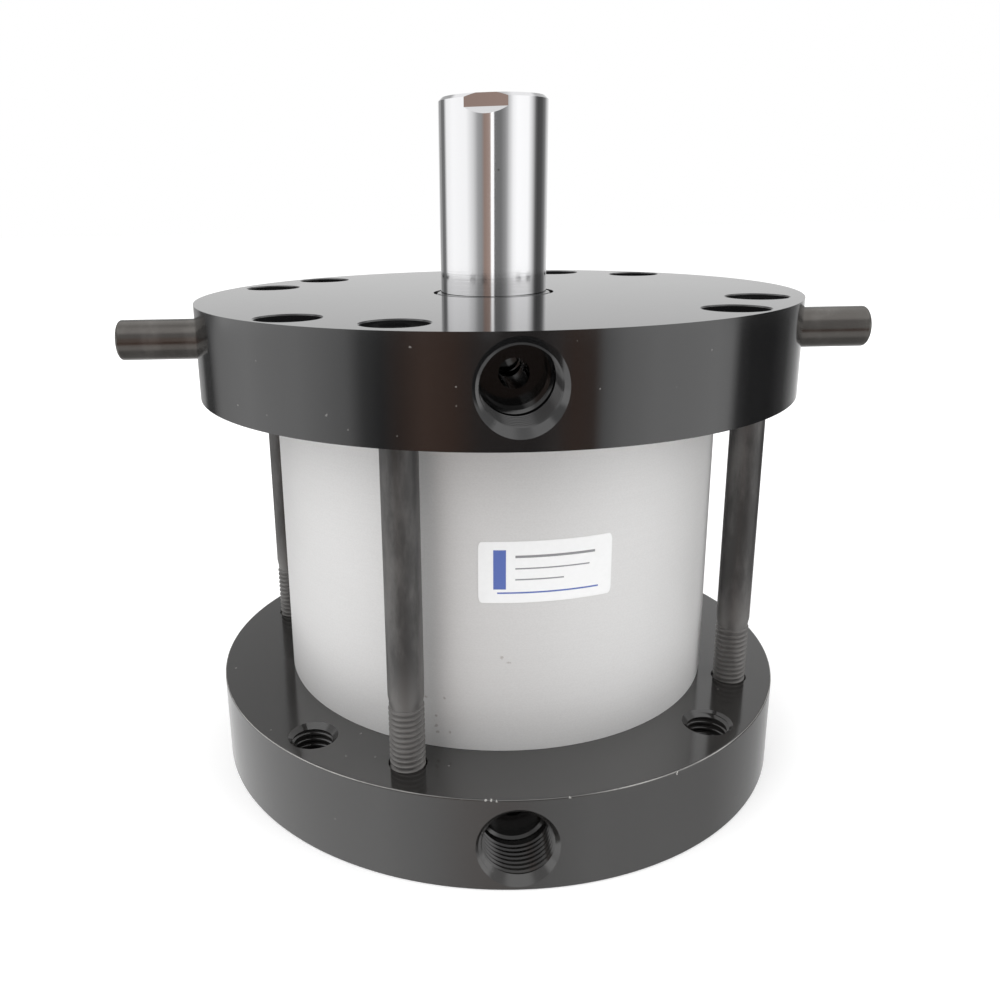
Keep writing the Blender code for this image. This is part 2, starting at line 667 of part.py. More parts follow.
def piston_rod(surface, parent):
    """Rod with its shoulder at z = 0, a spigot below it and a threaded hole in its top end."""
    groove_width = ROD_STATIC_GROOVE_DEPTH + GROOVE_GAP
    groove_low = -(ROD_SPIGOT_LENGTH - SEAT_GAP + groove_width) / 2.0
    groove_floor = ROD_SPIGOT_RADIUS - ROD_STATIC_GROOVE_DEPTH
    spigot_low = -ROD_SPIGOT_LENGTH
    bolt_hole_top = BOLT_BITE - ROD_SPIGOT_LENGTH + BOLT_END_SPACE
    thread_low = ROD_LENGTH - ROD_THREAD_DEPTH
    drill_point = ROD_THREAD_RADIUS / math.tan(DRILL_POINT_ANGLE / 2.0)
    outline = [
        (0.0, bolt_hole_top),
        (BOLT_HOLE_RADIUS, bolt_hole_top),
        (BOLT_HOLE_RADIUS, spigot_low),
        (ROD_SPIGOT_RADIUS, spigot_low),
        (ROD_SPIGOT_RADIUS, groove_low),
        (groove_floor, groove_low),
        (groove_floor, groove_low + groove_width),
        (ROD_SPIGOT_RADIUS, groove_low + groove_width),
        (ROD_SPIGOT_RADIUS, 0.0),
        (ROD_RADIUS - ROD_CHAMFER, 0.0),
        (ROD_RADIUS, ROD_CHAMFER),
        (ROD_RADIUS, ROD_LENGTH - ROD_CHAMFER),
        (ROD_RADIUS - ROD_CHAMFER, ROD_LENGTH),
        (ROD_THREAD_RADIUS + ROD_THREAD_CHAMFER, ROD_LENGTH),
        (ROD_THREAD_RADIUS, ROD_LENGTH - ROD_THREAD_CHAMFER),
        (ROD_THREAD_RADIUS, thread_low),
        (0.0, thread_low - drill_point),
    ]
    rod = add_object("piston_rod", turned_mesh("piston_rod", outline, ROD_FACETS), surface, parent,
                     (0.0, 0.0, ROD_LOW - PISTON_LOW))
    face = ROD_RADIUS - FLAT_DEPTH
    far = ROD_RADIUS + CUT_MARGIN
    flat_low = ROD_LENGTH - FLAT_LENGTH
    slope = FLAT_RUNOUT / FLAT_DEPTH
    side = [
        (face, ROD_LENGTH + CUT_MARGIN),
        (face, flat_low),
        (far, flat_low - slope * (far - face)),
        (far, ROD_LENGTH + CUT_MARGIN),
    ]
    upright = Matrix.Rotation(math.pi / 2.0, 4, "X")
    wedge = prism_mesh("flat_cut", side, -far, far)
    places = [Matrix.Rotation(FLAT_TURN + turn, 4, "Z") @ upright for turn in (0.0, math.pi)]
    cut(rod, joined_mesh("rod_flats_cut", wedge, places))
    return rod


def rod_static_seal(surface, parent):
    """O-ring on the rod's spigot, inside the piston's recess."""
    inner = ROD_SPIGOT_RADIUS - ROD_STATIC_GROOVE_DEPTH + GROOVE_GAP
    outer = ROD_SPIGOT_RADIUS + SEAT_GAP - GROOVE_GAP
    middle = (ROD_LOW - PISTON_LOW) - (ROD_SPIGOT_LENGTH - SEAT_GAP) / 2.0
    mesh = turned_mesh("rod_static_seal", oring_outline(inner, outer, 0.0), HOLE_FACETS, ring=True)
    return add_object("rod_static_seal", mesh, surface, parent, (0.0, 0.0, middle))


def piston(surface, parent):
    """Piston on z = 0: recess for the bolt below, for the rod above, three ring grooves outside."""
    seal_floor = PISTON_RADIUS - PISTON_SEAL_GROOVE_DEPTH
    wear_floor = PISTON_RADIUS - WEAR_GROOVE_DEPTH
    recess = WASHER_RADIUS + SEAT_GAP
    rod_recess = ROD_SPIGOT_RADIUS + SEAT_GAP
    outline = [(recess, 0.0), (PISTON_RADIUS - PISTON_CHAMFER, 0.0), (PISTON_RADIUS, PISTON_CHAMFER)]
    height = 0.0
    for width, floor in (
        (PISTON_SEAL_GROOVE_WIDTH, seal_floor),
        (WEAR_GROOVE_WIDTH, wear_floor),
        (PISTON_SEAL_GROOVE_WIDTH, seal_floor),
    ):
        height += PISTON_LAND
        outline += [(PISTON_RADIUS, height), (floor, height)]
        height += width
        outline += [(floor, height), (PISTON_RADIUS, height)]
    outline += [
        (PISTON_RADIUS, PISTON_LENGTH - PISTON_CHAMFER),
        (PISTON_RADIUS - PISTON_CHAMFER, PISTON_LENGTH),
        (rod_recess, PISTON_LENGTH),
        (rod_recess, PISTON_LENGTH - ROD_SPIGOT_LENGTH),
        (BOLT_HOLE_RADIUS, PISTON_LENGTH - ROD_SPIGOT_LENGTH),
        (BOLT_HOLE_RADIUS, BOLT_RECESS),
        (recess, BOLT_RECESS),
    ]
    return add_object("piston", turned_mesh("piston", outline, PISTON_FACETS, ring=True), surface, parent)


def piston_rings(rubber, plastic, parent):
    """Two lip seals, open towards their own ends, and the split wear ring between them."""
    outer = BORE_RADIUS - RUNNING_GAP
    seal_inner = PISTON_RADIUS - PISTON_SEAL_GROOVE_DEPTH + GROOVE_GAP
    seal_height = PISTON_SEAL_GROOVE_WIDTH - 2.0 * GROOVE_GAP
    seal_mesh = turned_mesh("piston_seal", lip_seal_outline(seal_inner, outer, seal_height),
                            PISTON_FACETS, ring=True)
    lower = add_object("piston_seal_lower", seal_mesh, rubber, parent,
                       (0.0, 0.0, PISTON_LAND + GROOVE_GAP + seal_height))
    lower.rotation_euler = (math.pi, 0.0, 0.0)
    upper_low = PISTON_LENGTH - PISTON_LAND - PISTON_SEAL_GROOVE_WIDTH
    add_object("piston_seal_upper", seal_mesh, rubber, parent, (0.0, 0.0, upper_low + GROOVE_GAP))

    wear_inner = PISTON_RADIUS - WEAR_GROOVE_DEPTH + GROOVE_GAP
    wear_height = WEAR_GROOVE_WIDTH - 2.0 * GROOVE_GAP
    wear_low = 2.0 * PISTON_LAND + PISTON_SEAL_GROOVE_WIDTH + GROOVE_GAP
    outline = [(wear_inner, 0.0), (outer, 0.0), (outer, wear_height), (wear_inner, wear_height)]
    split = WEAR_RING_SPLIT / outer
    mesh = split_ring_mesh("wear_ring", outline, PISTON_FACETS, split)
    add_object("wear_ring", mesh, plastic, parent, (0.0, 0.0, wear_low))


def piston_bolt(surface, parent):
    """Low-headed bolt from below through the piston into the rod, head underside at z = 0."""
    outline = [
        (0.0, -BOLT_HEAD_HEIGHT),
        (BOLT_HEAD_RADIUS - BOLT_CHAMFER, -BOLT_HEAD_HEIGHT),
        (BOLT_HEAD_RADIUS, BOLT_CHAMFER - BOLT_HEAD_HEIGHT),
        (BOLT_HEAD_RADIUS, 0.0),
        (BOLT_RADIUS, 0.0),
        (BOLT_RADIUS, BOLT_LENGTH - BOLT_CHAMFER),
        (BOLT_RADIUS - BOLT_CHAMFER, BOLT_LENGTH),
        (0.0, BOLT_LENGTH),
    ]
    bolt = add_object("piston_bolt", turned_mesh("piston_bolt", outline, SCREW_FACETS), surface, parent,
                      (0.0, 0.0, BOLT_SEAT))
    socket = prism_mesh("bolt_socket_cut", hexagon(BOLT_SOCKET_ACROSS),
                        -BOLT_HEAD_HEIGHT - CUT_MARGIN, BOLT_SOCKET_DEPTH - BOLT_HEAD_HEIGHT)
    cut(bolt, socket)
    return bolt


def piston_washer(surface, parent):
    """Washer between the bolt's head and the piston."""
    outline = [
        (BOLT_HOLE_RADIUS, 0.0),
        (WASHER_RADIUS, 0.0),
        (WASHER_RADIUS, WASHER_THICKNESS),
        (BOLT_HOLE_RADIUS, WASHER_THICKNESS),
    ]
    mesh = turned_mesh("piston_washer", outline, HOLE_FACETS, ring=True)
    return add_object("piston_washer", mesh, surface, parent, (0.0, 0.0, BOLT_SEAT + SEAT_GAP))


def build():
    """Build the whole cylinder."""
    clear_scene()
    gloss_black = finish("black_anodised_gloss", (0.030, 0.030, 0.032), 0.22, 0.9)
    matte_black = finish("black_anodised_satin", (0.045, 0.045, 0.048), 0.38, 0.9)
    silver = finish("clear_anodised", (0.72, 0.73, 0.74), 0.45, 0.85)
    oxide = finish("black_oxide_steel", (0.055, 0.052, 0.050), 0.5, 0.9)
    pin_steel = finish("dark_steel", (0.12, 0.115, 0.11), 0.38, 0.95)
    chrome = finish("hard_chrome", (0.62, 0.62, 0.63), 0.08, 1.0)
    piston_metal = finish("bare_aluminium", (0.70, 0.70, 0.71), 0.35, 1.0)
    zinc = finish("plated_steel", (0.48, 0.48, 0.50), 0.35, 1.0)
    bronze = finish("bronze", (0.50, 0.34, 0.14), 0.40, 1.0)
    rubber = finish("black_rubber", (0.020, 0.020, 0.021), 0.75, 0.0)
    polyurethane = finish("dark_polyurethane", (0.030, 0.032, 0.040), 0.55, 0.0)
    plastic = finish("guide_plastic", (0.28, 0.20, 0.12), 0.60, 0.0)

    body = empty("cylinder_body", 0.0)
    cap_end_plate(matte_black, body)
    rod_end_plate(gloss_black, body)
    barrel(silver, body)
    barrel_seals(rubber, body)
    bumpers(polyurethane, body)
    rod_gland_rings(polyurethane, bronze, body)
    tie_screws(oxide, body)
    side_pins(pin_steel, body)

    moving = empty("rod_assembly", PISTON_LOW)
    piston(piston_metal, moving)
    piston_rings(polyurethane, plastic, moving)
    piston_rod(chrome, moving)
    rod_static_seal(rubber, moving)
    piston_bolt(oxide, moving)
    piston_washer(zinc, moving)


build()
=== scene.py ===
"""Looks of a compact pneumatic cylinder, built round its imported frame.

Two black anodised end plates clamp a satin tube with four long cap screws, and a chromed rod comes
out of the upper plate. Everything is in metres, +Z points along the rod, both air ports face -Y,
and each piece stays exactly where its CAD node is.
"""
import logging
import math
from collections.abc import Callable, Iterator
from contextlib import contextmanager
from dataclasses import dataclass
from enum import Enum

import bmesh
import bpy
from mathutils import Matrix, Vector


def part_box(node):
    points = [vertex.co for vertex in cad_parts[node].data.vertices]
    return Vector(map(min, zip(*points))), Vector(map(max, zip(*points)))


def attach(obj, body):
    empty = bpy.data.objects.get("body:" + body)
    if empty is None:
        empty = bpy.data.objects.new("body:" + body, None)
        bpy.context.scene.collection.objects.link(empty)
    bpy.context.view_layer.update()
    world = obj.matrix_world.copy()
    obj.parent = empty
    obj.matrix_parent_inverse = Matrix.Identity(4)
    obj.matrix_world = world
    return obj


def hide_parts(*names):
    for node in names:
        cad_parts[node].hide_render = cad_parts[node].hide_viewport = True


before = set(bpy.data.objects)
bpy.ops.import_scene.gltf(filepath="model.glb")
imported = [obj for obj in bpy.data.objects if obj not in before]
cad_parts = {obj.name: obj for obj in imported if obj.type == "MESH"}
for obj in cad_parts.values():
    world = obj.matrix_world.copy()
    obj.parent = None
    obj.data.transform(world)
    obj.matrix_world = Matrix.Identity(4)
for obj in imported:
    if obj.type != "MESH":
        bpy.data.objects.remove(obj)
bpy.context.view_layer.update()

LOG = logging.getLogger("cylinder")
MM = 0.001
FULL_TURN = 2.0 * math.pi
CUT_MARGIN = 3.0 * MM
RING_SIDES = 128
BORE_SIDES = 96
HOLE_SIDES = 64
BEVEL_RISE = 0.71

Outline = list[tuple[float, float]]
Colour = tuple[float, float, float]
Place = tuple[float, float, float]


class Body(Enum):
    """The CAD bodies that pieces ride on."""

    CYLINDER = "cylinder_body"
    ROD = "rod_assembly"


class Slot(Enum):
    """The record's material slots, one of which is passed with each new piece."""

    UPPER_PLATE = "gloss_black_plate"
    LOWER_PLATE = "satin_black_plate"
    TUBE = "silver_tube"
    SCREW = "black_oxide_steel"
    PIN = "pin_steel"
    ROD = "rod_chrome"
    WIPER = "polyurethane"


def along_z(turn: float, radius: float, height: float = 0.0) -> Matrix:
    """Give an upright place on a circle round the axis."""
    return Matrix.Rotation(turn, 4, "Z") @ Matrix.Translation((radius, 0.0, height))


def facing_out(turn: float, radius: float, height: float) -> Matrix:
    """Give a place whose +Z points out along a radius."""
    return along_z(turn, radius, height) @ Matrix.Rotation(math.pi / 2.0, 4, "Y")


def stairs(radii: tuple[float, ...], levels: tuple[float, ...]) -> Outline:
    """Give an outline of upright walls at these radii, each from one level to the next."""
    walls = zip(radii, zip(levels, levels[1:]))
    return [(radius, level) for radius, ends in walls for level in ends]


def scaled(colour: Colour, share: float) -> Colour:
    """Give a colour whose parts are multiplied by a share."""
    return tuple(part * share for part in colour)


def grey(level: float, warmth: float = 0.0) -> Colour:
    """Give a grey, made warmer by a share of its level."""
    return level, level * (1.0 - warmth), level * (1.0 - 1.4 * warmth)


@dataclass(frozen=True)
class Thread:
    """A straight screw thread, by its root and crest radii and the shares of its pitch."""

    root: float
    crest: float
    pitch: float
    crest_share: float = 0.14
    root_share: float = 0.24
    steps: int = 48

    def outline(self, low: float, high: float) -> Outline:
        """Give the zigzag from below one height to above another, past both by over a turn."""
        flank = (1.0 - self.crest_share - self.root_share) / 2.0
        corners = (
            (self.root, self.root_share),
            (self.root, flank),
            (self.crest, self.crest_share),
            (self.crest, flank),
        )
        height = low - 2.0 * self.pitch
        points: Outline = []
        while height < high + self.pitch:
            for radius, share in corners:
                points.append((radius, height))
                height += share * self.pitch
        return points


class Shape:
    """A mesh that is worked with Blender's own modelling operators, as by hand."""

    def __init__(self, name: str) -> None:
        """Take over the object that an operator has just added."""
        self.object = bpy.context.active_object
        self.object.name = name
        self.object.data.name = name

    @contextmanager
    def editing(self, mode: str = "VERT", select: str = "SELECT") -> Iterator[None]:
        """Work on this shape in edit mode with all or nothing selected."""
        self.activate()
        bpy.ops.object.mode_set(mode="EDIT")
        bpy.ops.mesh.select_mode(type=mode)
        bpy.ops.mesh.select_all(action=select)
        yield
        bpy.ops.object.mode_set(mode="OBJECT")

    def activate(self) -> None:
        """Make this shape the only selected object and the active one."""
        bpy.ops.object.select_all(action="DESELECT")
        self.object.select_set(True)
        bpy.context.view_layer.objects.active = self.object

    @classmethod
    def turned(cls, name: str, outline: Outline, sides: int, ring: bool = False) -> "Shape":
        """Model a turned form: a circle, extruded and resized along an outline.

        Args:
            name: Name of the new object.
            outline: Points of radius and height. A solid's first and last points bound flat ends.
            sides: Number of facets round a full turn.
            ring: Whether the outline closes on itself round a hole.

        Returns:
            The closed shape.
        """
        (radius, height), *rest = outline
        if ring:
            rest.append(outline[0])
        bpy.ops.object.select_all(action="DESELECT")
        bpy.ops.mesh.primitive_circle_add(vertices=sides, radius=radius,
                                          location=(0.0, 0.0, height),
                                          fill_type="NOTHING" if ring else "NGON")
        shape = cls(name)
        with shape.editing():
            for wide, high in rest:
                rise = {"value": (0.0, 0.0, high - height)}
                bpy.ops.mesh.extrude_region_move(TRANSFORM_OT_translate=rise)
                if wide != radius:
                    share = wide / radius
                    bpy.ops.transform.resize(value=(share, share, 1.0),
                                             center_override=(0.0, 0.0, high))
                radius, height = wide, high
        shape.weld()
        return shape

    @classmethod
    def threaded(cls, name: str, thread: Thread, low: float, high: float) -> "Shape":
        """Model a threaded bar: a zigzag line, screwed round the axis and cut off at both ends.

        Args:
            name: Name of the new object.
            thread: The thread's sizes.
            low: Height of the bar's lower end.
            high: Height of its upper end.

        Returns:
            The closed shape.
        """
        (radius, height), *rest = thread.outline(low, high)
        bpy.ops.object.select_all(action="DESELECT")
        bpy.ops.mesh.primitive_plane_add(size=thread.pitch, location=(radius, 0.0, height))
        shape = cls(name)
        with shape.editing():
            bpy.ops.mesh.merge(type="CENTER")
            for wide, high_point in rest:
                step = {"value": (wide - radius, 0.0, high_point - height)}
                bpy.ops.mesh.extrude_vertices_move(TRANSFORM_OT_translate=step)
                radius, height = wide, high_point
        shape.settle()
        screw = shape.object.modifiers.new("Screw", "SCREW")
        screw.axis = "Z"
        screw.angle = FULL_TURN
        screw.screw_offset = thread.pitch
        screw.steps = thread.steps
        screw.render_steps = thread.steps
        screw.use_merge_vertices = False
        shape.apply_modifiers()
        shape.weld()
        shape.bisect((0.0, 0.0, low), (0.0, 0.0, -1.0))
        shape.bisect((0.0, 0.0, high), (0.0, 0.0, 1.0))
        shape.weld()
        return shape

    def bisect(self, point: Place, outward: Place) -> None:
        """Cut off all that lies past a plane and close the cut with a face."""
        with self.editing():
            bpy.ops.mesh.bisect(plane_co=point, plane_no=outward, use_fill=True, clear_outer=True)

    def weld(self) -> None:
        """Merge doubled vertices and turn the faces outwards."""
        with self.editing():
            bpy.ops.mesh.remove_doubles(threshold=0.001 * MM)
            bpy.ops.mesh.normals_make_consistent(inside=False)

    def pick_edges(self, test: Callable[[Vector, Vector], bool]) -> None:
        """Select the edges whose two ends pass a test. The shape is in edit mode."""
        mesh = bmesh.from_edit_mesh(self.object.data)
        for edge in mesh.edges:
            edge.select_set(test(edge.verts[0].co, edge.verts[1].co))
        bmesh.update_edit_mesh(self.object.data)

    def round_rim(self, radius: float, height: float, width: float, segments: int = 3) -> None:
        """Round the circular edge that lies at a radius and a height.

        Args:
            radius: Radius of the edge, in the shape's own frame.
            height: Height of the edge.
            width: Width of the rounding.
            segments: Number of facets across it.
        """
        near = 0.02 * MM

        def on_rim(point: Vector) -> bool:
            """Say whether a point lies on the circle."""
            return abs(point.xy.length - radius) < near and abs(point.z - height) < near

        with self.editing("EDGE", "DESELECT"):
            self.pick_edges(lambda first, second: on_rim(first) and on_rim(second))
            bpy.ops.mesh.bevel(offset=width, offset_type="OFFSET", segments=segments,
                               affect="EDGES")

    def place(self, matrix: Matrix) -> "Shape":
        """Move the shape by a matrix and keep its object at the origin."""
        self.object.matrix_world = matrix @ self.object.matrix_world
        self.settle()
        return self

    def settle(self) -> None:
        """Put the place into the mesh, with the object at the origin, unturned and unscaled."""
        self.activate()
        bpy.ops.object.transform_apply(location=True, rotation=True, scale=True)

    def copied(self, name: str, matrix: Matrix) -> "Shape":
        """Copy the shape with a mesh of its own and move the copy by a matrix."""
        self.activate()
        bpy.ops.object.duplicate(linked=False)
        return Shape(name).place(matrix)

    def repeated(self, places: list[Matrix]) -> "Shape":
        """Turn the shape into one object that holds a copy of it at each place."""
        copies = [self.copied(f"{self.object.name}_copy", place) for place in places[1:]]
        self.place(places[0])
        self.activate()
        for copy in copies:
            copy.object.select_set(True)
        if copies:
            bpy.ops.object.join()
        return self

    def apply_modifiers(self) -> None:
        """Apply every modifier in order."""
        self.activate()
        for modifier in list(self.object.modifiers):
            bpy.ops.object.modifier_apply(modifier=modifier.name)

    def combine(self, other: "Shape", operation: str) -> None:
        """Work another closed shape into this one with an exact Boolean, and use it up."""
        boolean = self.object.modifiers.new("Boolean", "BOOLEAN")
        boolean.operation = operation
        boolean.solver = "EXACT"
        boolean.object = other.object
        self.apply_modifiers()
        bpy.data.objects.remove(other.object, do_unlink=True)

    def cut(self, other: "Shape") -> None:
        """Cut another closed shape out of this one."""
        self.combine(other, "DIFFERENCE")

    def finish(self, material: bpy.types.Material, body: Body, slot: Slot, *nodes: str,
               crease: float = 32.0) -> None:
        """Shade the piece, dress it, and hand it to the frame in place of its CAD nodes.

        Args:
            material: The piece's finish.
            body: The CAD body that it rides on.
            slot: The record's slot for the finish; not used.
            nodes: The CAD nodes that it stands for.
            crease: Angle in degrees from which an edge stays sharp.
        """
        self.settle()
        bpy.ops.object.shade_smooth_by_angle(angle=math.radians(crease))
        weighted = self.object.modifiers.new("Weighted", "WEIGHTED_NORMAL")
        weighted.keep_sharp = True
        self.apply_modifiers()
        self.object.data.materials.clear()
        self.object.data.materials.append(material)
        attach(self.object, body.value)
        if nodes:
            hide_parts(*nodes)
        faces = len(self.object.data.polygons)
        LOG.info("%s: %d faces, rides on %s", self.object.name, faces, body.value)


def operator(operation: str, flipped: bool = False) -> "Callable[..., Value]":
    """Make an operator method that adds one Math node.

    Args:
        operation: The node's operation.
        flipped: Whether the other number comes first.

    Returns:
        The method.
    """
    def apply(self: "Value", *others: "float | Value") -> "Value":
        """Work on this number, and on another where the operator has two sides."""
        terms = (*others, self) if flipped else (self, *others)
        return self.math_node(operation, *terms)

    return apply


class Value:
    """A number in a shader that arithmetic and comparison operators work on."""

    def __init__(self, graph: "Graph", socket: bpy.types.NodeSocket) -> None:
        """Wrap an output socket."""
        self.graph = graph
        self.socket = socket

    def math_node(self, operation: str, *terms: "float | Value", clamp: bool = False) -> "Value":
        """Add one Math node and give its result."""
        settings = {"operation": operation, "use_clamp": clamp}
        return self.graph.value("ShaderNodeMath", settings, dict(enumerate(terms)))

    __add__ = __radd__ = operator("ADD")
    __mul__ = __rmul__ = operator("MULTIPLY")
    __sub__ = operator("SUBTRACT")
    __rsub__ = operator("SUBTRACT", flipped=True)
    __lt__ = operator("LESS_THAN")
    __gt__ = operator("GREATER_THAN")
    __abs__ = operator("ABSOLUTE")
    angle_to = operator("ARCTAN2")

    def clamped(self) -> "Value":
        """Keep between 0 and 1."""
        return self.math_node("ADD", self, 0.0, clamp=True)

    def faded(self, low: float, high: float) -> "Value":
        """Rise smoothly from 0 at one level to 1 at another."""
        settings = {"interpolation_type": "SMOOTHSTEP", "clamp": True}
        sockets = {"Value": self, "From Min": low, "From Max": high, "To Min": 0.0, "To Max": 1.0}
        return self.graph.value("ShaderNodeMapRange", settings, sockets)


class Graph:
    """The nodes of one material or of the world."""

    def __init__(self, tree: bpy.types.NodeTree) -> None:
        """Start from an empty tree."""
        self.tree = tree
        self.tree.nodes.clear()

    def node(self, kind: str, settings: dict | None = None,
             sockets: dict | None = None) -> bpy.types.Node:
        """Add a node.

        Args:
            kind: The node's type.
            settings: Its properties, set first. "stops" gives a ramp's positions and colours.
            sockets: Values or links of its inputs, by name or number.

        Returns:
            The node.
        """
        made = self.tree.nodes.new(kind)
        for name, setting in (settings or {}).items():
            if name == "stops":
                self._set_stops(made.color_ramp, setting)
            else:
                setattr(made, name, setting)
        for name, value in (sockets or {}).items():
            socket = made.inputs[name]
            if isinstance(value, Value):
                self.tree.links.new(value.socket, socket)
            elif isinstance(value, bpy.types.NodeSocket):
                self.tree.links.new(value, socket)
            else:
                socket.default_value = value
        return made

    @staticmethod
    def _set_stops(ramp: bpy.types.ColorRamp, stops: list[tuple[float, Colour]]) -> None:
        """Give a ramp its stops."""
        while len(ramp.elements) < len(stops):
            ramp.elements.new(1.0)
        for element, (position, colour) in zip(ramp.elements, stops):
            element.position = position
            element.color = (*colour, 1.0)

    def value(self, kind: str, settings: dict | None = None, sockets: dict | None = None,
              output: int | str = 0) -> Value:
        """Add a node and wrap one of its outputs."""
        return Value(self, self.node(kind, settings, sockets).outputs[output])

    def place(self) -> tuple[Value, Value, Value]:
        """Give the point's X, Y and Z in the object's own frame."""
        coordinates = self.node("ShaderNodeTexCoord")
        split = self.node("ShaderNodeSeparateXYZ", {}, {"Vector": coordinates.outputs["Object"]})
        return tuple(Value(self, split.outputs[axis]) for axis in range(3))

    def facing_up(self) -> Value:
        """Give how far the face points up, from -1 to 1."""
        normal = self.node("ShaderNodeNewGeometry").outputs["True Normal"]
        return self.value("ShaderNodeSeparateXYZ", {}, {0: normal}, 2)

    def vector(self, x: "float | Value", y: "float | Value", z: "float | Value") -> Value:
        """Make a vector of three numbers."""
        return self.value("ShaderNodeCombineXYZ", {}, {0: x, 1: y, 2: z})

    def length(self, vector: Value) -> Value:
        """Give a vector's length."""
        return self.value("ShaderNodeVectorMath", {"operation": "LENGTH"}, {0: vector}, "Value")

    def distance(self, point: tuple[Value, ...], place: Place) -> Value:
        """Give the distance of a point from a place."""
        return self.length(self.vector(*(part - other for part, other in zip(point, place))))

    def noise(self, vector: Value, scale: float = 1.0, detail: float = 2.0,
              roughness: float = 0.5) -> Value:
        """Give a noise between 0 and 1 at a vector."""
        sockets = {"Vector": vector, "Scale": scale, "Detail": detail, "Roughness": roughness}
        return self.value("ShaderNodeTexNoise", {}, sockets)

    def specks(self, vector: Value, scale: float, size: float, share: float) -> Value:
        """Give scattered round specks.

        Args:
            vector: The point.
            scale: Cells to a metre.
            size: Radius of a speck, as a share of a cell.
            share: Share of the cells that hold one.

        Returns:
            1 on a speck and 0 elsewhere.
        """
        cells = self.node("ShaderNodeTexVoronoi", {}, {"Vector": vector, "Scale": scale})
        chance = self.node("ShaderNodeSeparateColor", {}, {0: cells.outputs["Color"]})
        near = Value(self, cells.outputs["Distance"]) < Value(self, chance.outputs[1]) * size
        return near * (Value(self, chance.outputs[0]) < share)

    def mix(self, factor: "float | Value", first: "Colour | Value",
            second: "Colour | Value") -> Value:
        """Blend two colours."""
        mixer = self.node("ShaderNodeMix", {"data_type": "RGBA"})
        for name, value in (("Factor", factor), ("A", first), ("B", second)):
            socket = next(s for s in mixer.inputs if s.name == name and s.enabled)
            if isinstance(value, Value):
                self.tree.links.new(value.socket, socket)
            else:
                socket.default_value = value if name == "Factor" else (*value, 1.0)
        return Value(self, next(s for s in mixer.outputs if s.enabled))

    def bump(self, height: Value, distance: float, strength: float = 1.0) -> bpy.types.NodeSocket:
        """Turn a height between 0 and 1 into a normal."""
        sockets = {"Height": height, "Distance": distance, "Strength": strength}
        return self.node("ShaderNodeBump", {}, sockets).outputs["Normal"]


def new_material(name: str) -> tuple[bpy.types.Material, Graph]:
    """Start a material and its nodes."""
    made = bpy.data.materials.new(name)
    made.use_nodes = True
    return made, Graph(made.node_tree)


@dataclass(frozen=True)
class Spot:
    """A nick, scuff or chip at one place of a surface."""

    place: Place
    radius: float
    strength: float = 0.32


def spots(height: float, *rows: tuple[float, ...]) -> tuple[Spot, ...]:
    """Make spots of rows in millimetres: X, Y, Z above a height, the radius, and any strength."""
    return tuple(Spot((x * MM, y * MM, height + z * MM), radius * MM, *strength)
                 for x, y, z, radius, *strength in rows)


@dataclass(frozen=True)
class Finish:
    """A surface, which each kind of finish describes by the sockets of a Principled shader."""

    def sockets(self, graph: Graph) -> dict:
        """Describe the surface.

        Args:
            graph: The material's nodes.

        Returns:
            The shader's sockets that aren't left as they are.
        """
        raise NotImplementedError

    def make(self) -> bpy.types.Material:
        """Build the material."""
        made, graph = new_material(self.name)
        shader = graph.node("ShaderNodeBsdfPrincipled", {}, self.sockets(graph))
        graph.node("ShaderNodeOutputMaterial", {}, {"Surface": shader.outputs[0]})
        return made


